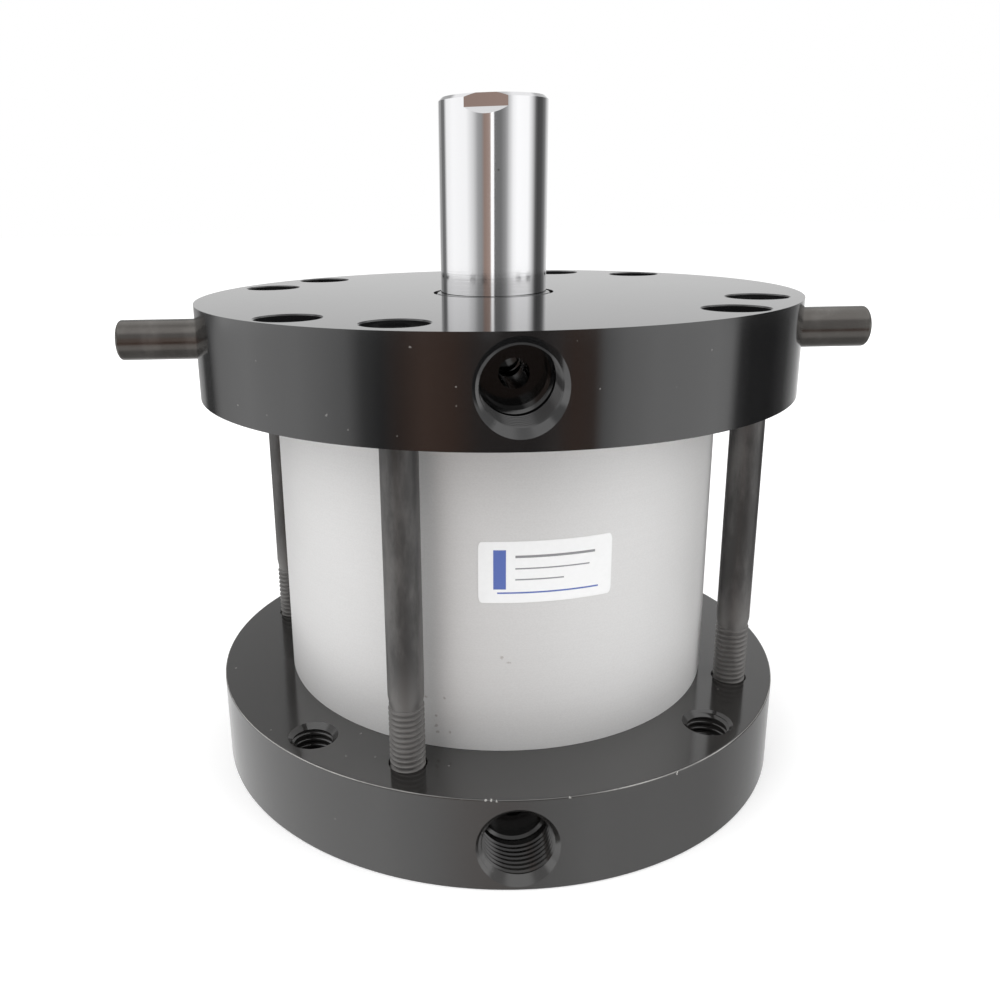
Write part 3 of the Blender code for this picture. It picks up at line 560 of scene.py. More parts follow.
@dataclass(frozen=True)
class BlackAnodised(Finish):
    """Turned, black anodised aluminium: glossy, with turning marks and nicks, and one edge painted
    pale, partly as rubbed bare metal and partly as a painted edge highlight.
    """

    name: str
    edge_wear_and_highlight_level: float
    edge_wear_and_highlight_strength: float
    nicks: tuple[Spot, ...] = ()
    colour: Colour = (0.0085, 0.0085, 0.0088)
    roughness: float = 0.085
    bare_metal_and_highlight: Colour = (0.46, 0.45, 0.43)
    highlight_break_half: float = 20.0 * MM
    rim_from: float = 70.0 * MM

    def sockets(self, graph: Graph) -> dict:
        """Describe the surface."""
        x, y, z = graph.place()
        point = graph.vector(x, y, z)
        across = graph.length(graph.vector(x, y, 0.0))
        spiral = graph.vector(x * 22.0, y * 22.0, (z + across) * 2600.0)
        turning = graph.noise(spiral, 1.0, 3.0, 0.6)
        smear = graph.noise(point, 34.0, 4.0, 0.6)
        dust = graph.specks(point, 420.0, 0.08, 0.03)
        # Pale bare-metal colour on the upward bevels at one edge: partly edge wear, partly a
        # painted highlight that stands in for the edge's reflection.
        slope = 1.0 - abs(abs(graph.facing_up()) - BEVEL_RISE).faded(0.12, 0.26)
        near_edge = abs(z - self.edge_wear_and_highlight_level).faded(0.42 * MM, 0.30 * MM)
        patchy = graph.noise(point, 55.0, 5.0, 0.65).faded(0.34, 0.60)
        # Painted break in that highlight: the pale edge fades where x is near zero, which breaks it
        # at the front middle, where the edge reflects a dark wall.
        highlight_break_by_port = abs(x).faded(self.highlight_break_half * 0.6, self.highlight_break_half * 1.2) * 0.85 + 0.15
        on_rim = across > self.rim_from
        rubbing_and_highlight = slope * near_edge * on_rim * (patchy * 0.6 + 0.4) * highlight_break_by_port * self.edge_wear_and_highlight_strength
        base = graph.mix(smear, self.colour, scaled(self.colour, 1.5))
        base = graph.mix(rubbing_and_highlight, base, self.bare_metal_and_highlight)
        base = graph.mix(dust * 0.22, base, self.bare_metal_and_highlight)
        ragged = (graph.noise(point, 3200.0, 3.0) - 0.5) * 2.0
        for nick in self.nicks:
            away = graph.distance((x, y, z), nick.place)
            chipped = away + ragged * nick.radius * 1.6 < nick.radius * 0.8
            base = graph.mix(chipped * nick.strength, base, self.bare_metal_and_highlight)
        rough = self.roughness + (smear - 0.5) * 0.05 + (turning - 0.5) * 0.04 + rubbing_and_highlight * 0.3
        return {
            "Base Color": base,
            "Roughness": rough.clamped(),
            "IOR": 1.8,
            "Normal": graph.bump(turning, 0.0016 * MM),
        }


@dataclass(frozen=True)
class SatinTube(Finish):
    """Clear anodised tube: pale satin aluminium with faint turning lines and a few scuffs."""

    name: str = "clear_anodised_tube"
    colour: Colour = (0.78, 0.775, 0.77)
    scuffs: tuple[Spot, ...] = ()

    def sockets(self, graph: Graph) -> dict:
        """Describe the surface."""
        x, y, z = graph.place()
        point = graph.vector(x, y, z)
        lines = graph.noise(graph.vector(x * 30.0, y * 30.0, z * 2200.0), 1.0, 3.0, 0.6)
        cloud = graph.noise(point, 26.0, 3.0)
        grain = graph.noise(graph.vector(x * 2400.0, y * 2400.0, z * 3400.0), 1.0, 2.0)
        base = graph.mix(cloud, scaled(self.colour, 0.96), scaled(self.colour, 1.03))
        base = graph.mix(lines * 0.10, base, (0.52, 0.51, 0.50))
        base = graph.mix(grain.faded(0.30, 0.70) * 0.10, base, (0.48, 0.47, 0.46))
        for scuff in self.scuffs:
            away = graph.distance((x, y, z), scuff.place)
            ragged = away + (graph.noise(point, 1300.0, 4.0) - 0.5) * (scuff.radius * 3.2)
            scuff_and_painted_light = ragged.faded(scuff.radius, scuff.radius * 0.2)
            base = graph.mix(scuff_and_painted_light * 0.42, base, (0.25, 0.20, 0.17))
        return {
            "Base Color": base,
            "Metallic": 0.35,
            "Roughness": (0.50 + (cloud - 0.5) * 0.10 + (lines - 0.5) * 0.08).clamped(),
            "Normal": graph.bump(lines * 0.5 + grain * 0.5, 0.006 * MM),
        }


@dataclass(frozen=True)
class OxideSteel(Finish):
    """Black oxide or dark drawn steel, mottled, with paler rubbed patches and painted light that
    makes it paler towards the bottom.
    """

    name: str
    dark: Colour
    pale: Colour
    roughness: float
    metallic: float = 0.6
    painted_light_below: float = 0.0
    painted_light_colour: Colour = (0.31, 0.30, 0.29)

    def sockets(self, graph: Graph) -> dict:
        """Describe the surface."""
        x, y, z = graph.place()
        point = graph.vector(x, y, z)
        mottle = graph.noise(graph.vector(x * 150.0, y * 150.0, z * 42.0), 1.0, 5.0, 0.62)
        grain = graph.noise(point, 1400.0, 2.0)
        rubbing_and_highlight = mottle.faded(0.40, 0.72)
        specks = graph.specks(point, 260.0, 0.10, 0.10)
        base = graph.mix(rubbing_and_highlight, self.dark, self.pale)
        base = graph.mix(grain * 0.25, base, self.dark)
        base = graph.mix(specks * 0.6, base, (0.36, 0.34, 0.32))
        # Painted reflected light: below a height the colour is mixed towards a paler grey, standing
        # in for light thrown up from the lower plate.
        scuff_and_painted_light = z.faded(self.painted_light_below, self.painted_light_below - 20.0 * MM)
        base = graph.mix(scuff_and_painted_light * 0.50, base, self.painted_light_colour)
        return {
            "Base Color": base,
            "Metallic": self.metallic,
            "Roughness": (self.roughness + (mottle - 0.5) * 0.25).clamped(),
            "Normal": graph.bump(grain * 0.6 + mottle * 0.4, 0.012 * MM),
        }


@dataclass(frozen=True)
class HardChrome(Finish):
    """Ground and chromed rod: a bright mirror with fine polishing lines and tiny pits."""

    name: str = "hard_chrome"
    colour: Colour = (0.72, 0.72, 0.73)

    def sockets(self, graph: Graph) -> dict:
        """Describe the surface."""
        x, y, z = graph.place()
        point = graph.vector(x, y, z)
        lines = graph.noise(graph.vector(x * 60.0, y * 60.0, z * 5200.0), 1.0, 2.0, 0.6)
        cloud = graph.noise(point, 60.0, 3.0)
        pits = graph.specks(point, 330.0, 0.10, 0.16)
        base = graph.mix(pits * 0.7, self.colour, (0.30, 0.29, 0.28))
        return {
            "Base Color": base,
            "Metallic": 1.0,
            "Roughness": (0.085 + (cloud - 0.5) * 0.04 + (lines - 0.5) * 0.04).clamped(),
            "Normal": graph.bump(lines, 0.004 * MM),
        }


@dataclass(frozen=True)
class TurnedMetal(Finish):
    """Bare or plated metal inside the cylinder, with turning marks round its axis."""

    name: str
    colour: Colour
    roughness: float

    def sockets(self, graph: Graph) -> dict:
        """Describe the surface."""
        x, y, z = graph.place()
        across = graph.length(graph.vector(x, y, 0.0))
        marks = graph.noise(graph.vector(x * 20.0, y * 20.0, (z + across) * 1800.0), 1.0, 3.0)
        cloud = graph.noise(graph.vector(x, y, z), 70.0, 3.0)
        return {
            "Base Color": graph.mix(cloud * 0.5, self.colour, scaled(self.colour, 0.75)),
            "Metallic": 1.0,
            "Roughness": (self.roughness + (marks - 0.5) * 0.2).clamped(),
            "Normal": graph.bump(marks, 0.006 * MM),
        }


@dataclass(frozen=True)
class Elastomer(Finish):
    """Rubber, polyurethane or guide plastic, softly mottled."""

    name: str
    colour: Colour
    roughness: float

    def sockets(self, graph: Graph) -> dict:
        """Describe the surface."""
        x, y, z = graph.place()
        point = graph.vector(x, y, z)
        cloud = graph.noise(point, 120.0, 3.0)
        grain = graph.noise(point, 2200.0, 2.0)
        return {
            "Base Color": graph.mix(cloud, self.colour, scaled(self.colour, 1.5)),
            "Roughness": (self.roughness + (cloud - 0.5) * 0.15).clamped(),
            "Normal": graph.bump(grain, 0.01 * MM),
        }


@dataclass(frozen=True)
class Bar:
    """A plain printed bar on the label, by its centre and its size along the arc and up."""

    across: float
    up: float
    width: float
    height: float
    colour: Colour


@dataclass(frozen=True)
class LabelPaper(Finish):
    """White coated paper with a plain block and ruled lines, and no words."""

    radius: float
    turn: float
    middle: float
    bars: tuple[Bar, ...]
    name: str = "label_paper"

    def sockets(self, graph: Graph) -> dict:
        """Describe the surface."""
        x, y, z = graph.place()
        ahead = x * math.cos(self.turn) + y * math.sin(self.turn)
        aside = y * math.cos(self.turn) - x * math.sin(self.turn)
        arc = aside.angle_to(ahead) * self.radius
        up = z - self.middle
        fibre = graph.noise(graph.vector(x, y, z), 900.0, 3.0)
        base = graph.mix(fibre, grey(0.90), grey(0.96))
        for bar in self.bars:
            across = abs(arc - bar.across) < bar.width / 2.0
            inside = across * (abs(up - bar.up) < bar.height / 2.0)
            base = graph.mix(inside * 0.9, base, bar.colour)
        return {
            "Base Color": base,
            "Roughness": (0.36 + (fibre - 0.5) * 0.1).clamped(),
            "Normal": graph.bump(fibre, 0.004 * MM),
        }


@dataclass(frozen=True)
class AirPort:
    """A threaded air port: its drill, its thread, its countersink and the passage behind it."""

    turn: float = math.radians(-90.0)
    drill_radius: float = 7.35 * MM
    mouth_radius: float = 9.2 * MM
    cone_depth: float = 12.6 * MM
    depth: float = 15.0 * MM
    end_radius: float = 6.7 * MM
    thread_depth: float = 11.0 * MM
    passage_radius: float = 3.0 * MM
    passage_offset: float = 40.0 * MM
    overlap: float = 0.3 * MM
    cone_rise: float = 0.4 * MM
    thread: Thread = Thread(root=7.3 * MM, crest=8.15 * MM, pitch=1.337 * MM,
                            crest_share=0.10, root_share=0.16, steps=72)

    def cutters(self, radius: float, height: float, spigot_end: float) -> list[Shape]:
        """Model the closed shapes that are cut out of a plate.

        Args:
            radius: Radius of the plate's rim.
            height: Height of the port's axis.
            spigot_end: Height of the spigot's face, where the passage opens into the bore.

        Returns:
            The cutters, in the order of their cuts.
        """
        rim = facing_out(self.turn, radius, height)
        passage_end = self.passage_offset - self.passage_radius - radius
        end_top = -self.cone_depth - self.cone_rise
        drill = Shape.turned("port_drill", [
            *stairs((self.passage_radius, self.end_radius), (passage_end, -self.depth, end_top)),
            *stairs((self.drill_radius,), (-self.cone_depth, CUT_MARGIN)),
        ], BORE_SIDES).place(rim)
        tap = Shape.threaded("port_tap", self.thread, -self.thread_depth, CUT_MARGIN).place(rim)
        sink_depth = self.mouth_radius - self.drill_radius
        sink = Shape.turned("port_sink", [
            (self.drill_radius - CUT_MARGIN / 2.0, -sink_depth - CUT_MARGIN / 2.0),
            (self.mouth_radius + CUT_MARGIN, CUT_MARGIN),
        ], BORE_SIDES).place(rim)
        beyond = spigot_end + math.copysign(CUT_MARGIN, spigot_end - height)
        start = height - math.copysign(self.overlap, beyond - height)
        passage = Shape.turned("bore_passage", stairs((self.passage_radius,), (start, beyond)), 48)
        passage.place(along_z(self.turn, self.passage_offset))
        return [drill, tap, sink, passage]


@dataclass
class EndPlate:
    """The parts that both round end plates share: body, spigot, grooves, rim and air port."""

    node: str
    outer: float
    inward: float
    radius: float
    thickness: float = 21.5 * MM
    spigot_radius: float = 49.7 * MM
    spigot_height: float = 5.0 * MM
    seal_depth: float = 2.6 * MM
    seal_width: float = 2.9 * MM
    bumper_inner: float = 25.0 * MM
    bumper_outer: float = 33.0 * MM
    bumper_depth: float = 2.0 * MM
    edge_round: float = 0.4 * MM
    screw_circle: float = 61.0 * MM
    screw_turn: float = math.radians(-111.4)
    mount_circle: float = 63.0 * MM
    mount_turn: float = math.radians(-133.9)
    screw_count: int = 4
    port_depth: float = 10.0 * MM
    sides: int = 256
    port: AirPort = AirPort()

    def level(self, depth: float) -> float:
        """Give the height that lies this deep from the plate's outer face."""
        return self.outer + self.inward * depth

    def turned(self, name: str, outline: Outline, sides: int) -> Shape:
        """Model a turned cutter whose outline gives depths from the outer face."""
        return Shape.turned(name, [(radius, self.level(depth)) for radius, depth in outline], sides)

    def circle(self, radius: float, start: float) -> list[Matrix]:
        """Give the places of four holes on a circle, from a start angle."""
        count = self.screw_count
        return [along_z(start + step * FULL_TURN / count, radius) for step in range(count)]

    def screw_places(self) -> list[Matrix]:
        """Give the places of the tie screws' holes."""
        return self.circle(self.screw_circle, self.screw_turn)

    def mount_places(self) -> list[Matrix]:
        """Give the places of the mounting holes."""
        return self.circle(self.mount_circle, self.mount_turn)

    def blank(self) -> Shape:
        """Turn the plate with its spigot, its grooves and its rounded rims."""
        spigot_end = self.thickness + self.spigot_height
        seal_low = self.thickness + (self.spigot_height - self.edge_round - self.seal_width) / 2.0
        seal_floor = self.spigot_radius - self.seal_depth
        seal_high = seal_low + self.seal_width
        bumper_floor = spigot_end - self.bumper_depth
        radii = (self.radius, self.spigot_radius, seal_floor, self.spigot_radius,
                 self.bumper_outer, self.bumper_inner)
        depths = (0.0, self.thickness, seal_low, seal_high, spigot_end, bumper_floor, spigot_end)
        plate = self.turned(self.node + "_detailed", stairs(radii, depths), self.sides)
        rims = ((self.radius, 0.0), (self.radius, self.thickness), (self.spigot_radius, spigot_end))
        for radius, depth in rims:
            plate.round_rim(radius, self.level(depth), self.edge_round)
        return plate

    def cut_port(self, plate: Shape) -> None:
        """Cut the air port and its passage."""
        height = self.level(self.port_depth)
        spigot_end = self.level(self.thickness + self.spigot_height)
        for cutter in self.port.cutters(self.radius, height, spigot_end):
            plate.cut(cutter)


@dataclass
class CapEndPlate(EndPlate):
    """The lower plate, tapped for the tie screws and for the mounting bolts."""

    tapped_radius: float = 4.05 * MM
    tapped_mouth: float = 4.2 * MM
    mount_drill: float = 4.35 * MM
    mount_mouth: float = 5.6 * MM
    mount_thread: Thread = Thread(root=4.3 * MM, crest=5.05 * MM, pitch=1.5 * MM, crest_share=0.10)

    def hole(self, name: str, radius: float, mouth: float) -> Shape:
        """Model a hole right through the plate, countersunk to a mouth at both faces."""
        chamfer = mouth - radius
        return self.turned(name, [
            (mouth + CUT_MARGIN, -CUT_MARGIN),
            *stairs((radius,), (chamfer, self.thickness - chamfer)),
            (mouth + CUT_MARGIN, self.thickness + CUT_MARGIN),
        ], HOLE_SIDES)

    def build(self) -> None:
        """Model, cut and dress the plate."""
        plate = self.blank()
        self.cut_port(plate)
        tapped = self.hole("tapped_hole", self.tapped_radius, self.tapped_mouth)
        plate.cut(tapped.repeated(self.screw_places()))
        tap = Shape.threaded("mount_tap", self.mount_thread, self.outer - CUT_MARGIN,
                             self.level(self.thickness) + CUT_MARGIN)
        plate.cut(tap.repeated(self.mount_places()))
        mount = self.hole("mount_hole", self.mount_drill, self.mount_mouth)
        plate.cut(mount.repeated(self.mount_places()))
        top = self.level(self.thickness)
        nicks = spots(
            top,
            (-11.4, -70.2, -0.2, 0.22), (-6.6, -70.5, -0.2, 0.26, 0.75),
            (-5.5, -70.6, -0.2, 0.26, 0.75), (-4.4, -70.7, -0.3, 0.24, 0.75),
            (10.3, -70.1, -0.3, 0.26, 0.75), (33.7, -62.5, -0.6, 0.36, 0.75),
            (-67.2, -12.6, 0.0, 0.30), (-53.6, -42.8, 0.0, 0.20), (-33.0, -45.0, 0.0, 0.24),
            (-29.4, -54.6, 0.0, 0.20), (-35.7, -54.0, 0.0, 0.18), (-13.6, -58.6, 0.0, 0.22),
            (52.2, -29.0, 0.0, 0.24),
        )
        dark = (0.019, 0.0182, 0.0175)
        # The top edge gets pale paint, partly wear and partly a painted highlight.
        finish = BlackAnodised("black_anodised_lower", top, 0.8, nicks, dark, 0.125)
        plate.finish(finish.make(), Body.CYLINDER, Slot.LOWER_PLATE, self.node)


@dataclass
class RodEndPlate(EndPlate):
    """The upper plate, with eight counterbored holes, the rod gland and the side pins' holes."""

    head_radius: float = 6.75 * MM
    head_depth: float = 10.3 * MM
    head_chamfer: float = 0.3 * MM
    shank_radius: float = 4.5 * MM
    gland_mouth: float = 14.5 * MM
    gland_mouth_depth: float = 2.0 * MM
    gland_land: float = 13.0 * MM
    gland_groove: float = 17.2 * MM
    wiper_low: float = 7.0 * MM
    seal_top: float = 9.0 * MM
    seal_low: float = 14.4 * MM
    bush_top: float = 16.4 * MM
    bush_radius: float = 15.0 * MM
    pin_hole_radius: float = 5.2 * MM
    pin_hole_depth: float = 12.0 * MM

    def gland(self) -> Shape:
        """Model the stepped bore for the rod, its wiper, its seal and its bush."""
        end = self.thickness + self.spigot_height + CUT_MARGIN
        radii = (self.gland_mouth, self.gland_groove, self.gland_land, self.gland_groove,
                 self.gland_land, self.bush_radius)
        depths = (-CUT_MARGIN, self.gland_mouth_depth, self.wiper_low, self.seal_top,
                  self.seal_low, self.bush_top, end)
        return self.turned("gland", stairs(radii, depths), RING_SIDES)

    def counterbore(self) -> Shape:
        """Model one hole for a screw, with a room for its head."""
        depths = (self.head_chamfer, self.head_depth, self.thickness + CUT_MARGIN)
        return self.turned("counterbore", [
            (self.head_radius + self.head_chamfer + CUT_MARGIN, -CUT_MARGIN),
            *stairs((self.head_radius, self.shank_radius), depths),
        ], BORE_SIDES)

    def pin_holes(self) -> Shape:
        """Model the two blind holes for the side pins."""
        height = self.level(self.port_depth)
        wall = stairs((self.pin_hole_radius,), (-self.pin_hole_depth, CUT_MARGIN))
        hole = Shape.turned("pin_hole", wall, BORE_SIDES)
        return hole.repeated([facing_out(turn, self.radius, height) for turn in (0.0, math.pi)])

    def build(self) -> None:
        """Model, cut and dress the plate."""
        plate = self.blank()
        self.cut_port(plate)
        plate.cut(self.gland())
        plate.cut(self.counterbore().repeated(self.screw_places() + self.mount_places()))
        plate.cut(self.pin_holes())
        nicks = spots(
            0.0,
            (-19.3, -68.3, 111.75, 0.22), (-11.5, -70.1, 104.85, 0.18),
            (-11.5, -70.1, 101.46, 0.15), (-54.8, -45.2, 97.21, 0.24), (-47.8, -52.5, 96.64, 0.18),
            (-35.3, -61.6, 98.43, 0.26), (-31.2, -63.8, 96.02, 0.16), (-22.1, -67.5, 95.61, 0.14),
            (-49.5, -50.9, 107.0, 0.16), (35.7, -61.4, 109.06, 0.20), (13.9, -69.6, 103.89, 0.16),
        )
        # The top edge gets pale paint, partly wear and partly a painted highlight.
        finish = BlackAnodised("black_anodised_upper", self.outer, 0.5, nicks)
        plate.finish(finish.make(), Body.CYLINDER, Slot.UPPER_PLATE, self.node)


@dataclass
class Tube:
    """The barrel: a plain tube, with its seal lead-ins and the label on its front."""

    low: float
    high: float
    radius: float
    bore: float = 50.0 * MM
    lead_in: float = 0.5 * MM
    seat: float = 0.25 * MM
    rim_round: float = 0.15 * MM
    sides: int = 256
    label_low: float = 56.3 * MM
    label_high: float = 69.7 * MM
    label_start: float = math.radians(-97.4)
    label_end: float = math.radians(-66.8)
    label_thickness: float = 0.10 * MM
    label_lift: float = 0.02 * MM
    label_corner: float = 1.6 * MM

    def build(self) -> None:
        """Model and dress the tube and its label."""
        low, high = self.low - self.seat, self.high + self.seat
        tube = Shape.turned("barrel_detailed", [
            (self.bore + self.lead_in, low),
            *stairs((self.radius,), (low, high)),
            (self.bore + self.lead_in, high),
            *stairs((self.bore,), (high - self.lead_in, low + self.lead_in)),
        ], self.sides, ring=True)
        for level in (low, high):
            tube.round_rim(self.radius, level, self.rim_round)
        scuffs = spots(
            0.0,
            (-18.2, -50.3, 33.2, 0.50), (-16.1, -51.0, 29.0, 0.45), (-16.1, -51.0, 26.7, 0.45),
            (-15.7, -51.1, 25.1, 0.55), (-13.1, -51.9, 25.5, 0.55), (-14.3, -51.6, 33.6, 0.35),
            (-2.0, -53.5, 43.7, 0.50), (-0.7, -53.5, 42.6, 0.50),
        )
        tube.finish(SatinTube(scuffs=scuffs).make(), Body.CYLINDER, Slot.TUBE, "barrel")
        self.build_label()

    def build_label(self) -> None:
        """Model the label: a thin upright strip, spun along the tube and rounded at its corners."""
        middle = (self.label_low + self.label_high) / 2.0
        inner = self.radius + self.label_lift
        bpy.ops.object.select_all(action="DESELECT")
        bpy.ops.mesh.primitive_plane_add(size=1.0, rotation=(math.pi / 2.0, 0.0, 0.0),
                                         location=(inner + self.label_thickness / 2.0, 0.0, middle))
        label = Shape("label")
        label.object.scale = (self.label_thickness, self.label_high - self.label_low, 1.0)
        label.settle()
        with label.editing():
            bpy.ops.mesh.spin(steps=36, angle=self.label_end - self.label_start,
                              center=(0.0, 0.0, 0.0), axis=(0.0, 0.0, 1.0))
        label.weld()
        label.place(Matrix.Rotation(self.find_start(label), 4, "Z"))
        with label.editing("EDGE", "DESELECT"):
            label.pick_edges(self.is_corner)
            bpy.ops.mesh.bevel(offset=self.label_corner, segments=6, affect="EDGES")
        label.weld()
        turn = (self.label_start + self.label_end) / 2.0
        ink, pale = (0.010, 0.075, 0.42), (0.20, 0.20, 0.21)
        bars = (
            Bar(-9.9 * MM, 0.6 * MM, 2.6 * MM, 8.6 * MM, ink),
            Bar(1.8 * MM, 3.4 * MM, 17.0 * MM, 0.55 * MM, pale),
            Bar(1.2 * MM, 0.8 * MM, 15.8 * MM, 0.30 * MM, pale),
            Bar(-1.6 * MM, -1.6 * MM, 10.2 * MM, 0.30 * MM, pale),
            Bar(0.4 * MM, -4.5 * MM, 21.6 * MM, 0.35 * MM, ink),
        )
        paper = LabelPaper(self.radius, turn, middle, bars)
        label.finish(paper.make(), Body.CYLINDER, Slot.TUBE)

    def find_start(self, label: Shape) -> float:
        """Give the turn that brings the spun strip to its place on the tube."""
        angles = [math.atan2(vertex.co.y, vertex.co.x) for vertex in label.object.data.vertices]
        return self.label_start - min(angles)

    def is_corner(self, first: Vector, second: Vector) -> bool:
        """Say whether an edge runs through the label's thickness at one of its four corners."""
        near = 0.01 * MM
        radial = abs(first.xy.length - second.xy.length) > self.label_thickness / 2.0
        ends = (self.label_start, self.label_end)
        at_end = any(abs(math.atan2(first.y, first.x) - turn) * self.radius < near for turn in ends)
        return radial and at_end


@dataclass
class TieScrews:
    """Four long cap screws, M8, with rolled threads at their lower ends."""

    low: float
    high: float
    places: dict[str, tuple[float, float]]
    shank_radius: float = 3.85 * MM
    neck_radius: float = 3.55 * MM
    neck_length: float = 2.0 * MM
    neck_slope: float = 1.9 * MM
    thread_length: float = 31.3 * MM
    head_radius: float = 6.4 * MM
    head_height: float = 8.0 * MM
    socket_across: float = 6.0 * MM
    socket_depth: float = 4.0 * MM
    head_round: float = 0.6 * MM
    blank_inset: float = 0.12 * MM
    core_inset: float = 0.06 * MM
    core_turns: float = 2.2
    thread: Thread = Thread(root=3.20 * MM, crest=3.81 * MM, pitch=1.25 * MM,
                            crest_share=0.20, root_share=0.18)

    def thread_bar(self) -> Shape:
        """Model the threaded end, with its thread running out at both ends."""
        top = self.low + self.thread_length
        taper = self.thread.crest - self.thread.root
        bar = Shape.threaded("tie_screw_thread", self.thread, self.low, top)
        blank = Shape.turned("thread_blank", [
            *stairs((self.thread.root,), (self.low - CUT_MARGIN / 2.0, self.low)),
            *stairs((self.thread.crest + taper,), (self.low + 2.0 * taper, top - taper)),
            (self.neck_radius - self.blank_inset, top),
        ], HOLE_SIDES)
        bar.combine(blank, "INTERSECT")
        return bar

    def build(self) -> None:
        """Model one screw, and copy it to its four places."""
        thread_top = self.low + self.thread_length
        seat = self.high - self.head_height
        neck_end = thread_top + self.neck_length
        core_low = thread_top - self.core_turns * self.thread.pitch
        screw = Shape.turned("tie_screw_detailed", [
            (self.thread.root - self.core_inset, core_low),
            *stairs((self.neck_radius,), (thread_top, neck_end - self.neck_slope)),
            *stairs((self.shank_radius, self.head_radius), (neck_end, seat, self.high)),
        ], HOLE_SIDES)
        screw.round_rim(self.head_radius, self.high, self.head_round)
        bpy.ops.object.select_all(action="DESELECT")
        corner = self.socket_across / 2.0 / math.cos(math.pi / 6.0)
        depth = 2.0 * self.socket_depth
        bpy.ops.mesh.primitive_cylinder_add(vertices=6, radius=corner, depth=depth,
                                            location=(0.0, 0.0, self.high))
        screw.cut(Shape("socket"))
        screw.combine(self.thread_bar(), "UNION")
        screw.weld()
        # The screws get painted reflected light below 50 mm.
        finish = OxideSteel("black_oxide", (0.066, 0.064, 0.063), (0.160, 0.155, 0.151), 0.40,
                            painted_light_below=50.0 * MM)
        material = finish.make()
        for node, (x, y) in self.places.items():
            made = screw.copied(node + "_detailed", Matrix.Translation((x, y, 0.0)))
            made.finish(material, Body.CYLINDER, Slot.SCREW, node)
        bpy.data.objects.remove(screw.object, do_unlink=True)


@dataclass
class SidePins:
    """Two plain dowels in the sides of the upper plate."""

    height: float
    inner: float
    outer: float
    radius: float = 4.9 * MM
    end_round: float = 0.8 * MM

    def build(self) -> None:
        """Model one pin, and place it on both sides."""
        length = self.outer - self.inner
        pin = Shape.turned("side_pin", stairs((self.radius,), (0.0, length)), RING_SIDES)
        for level in (0.0, length):
            pin.round_rim(self.radius, level, self.end_round, 4)
        finish = OxideSteel("pin_steel", (0.125, 0.118, 0.11), (0.195, 0.185, 0.175), 0.24, 0.9)
        material = finish.make()
        for node, turn in (("side_pin_right", 0.0), ("side_pin_left", math.pi)):
            made = pin.copied(node + "_detailed", facing_out(turn, self.inner, self.height))
            made.finish(material, Body.CYLINDER, Slot.PIN, node)
        bpy.data.objects.remove(pin.object, do_unlink=True)


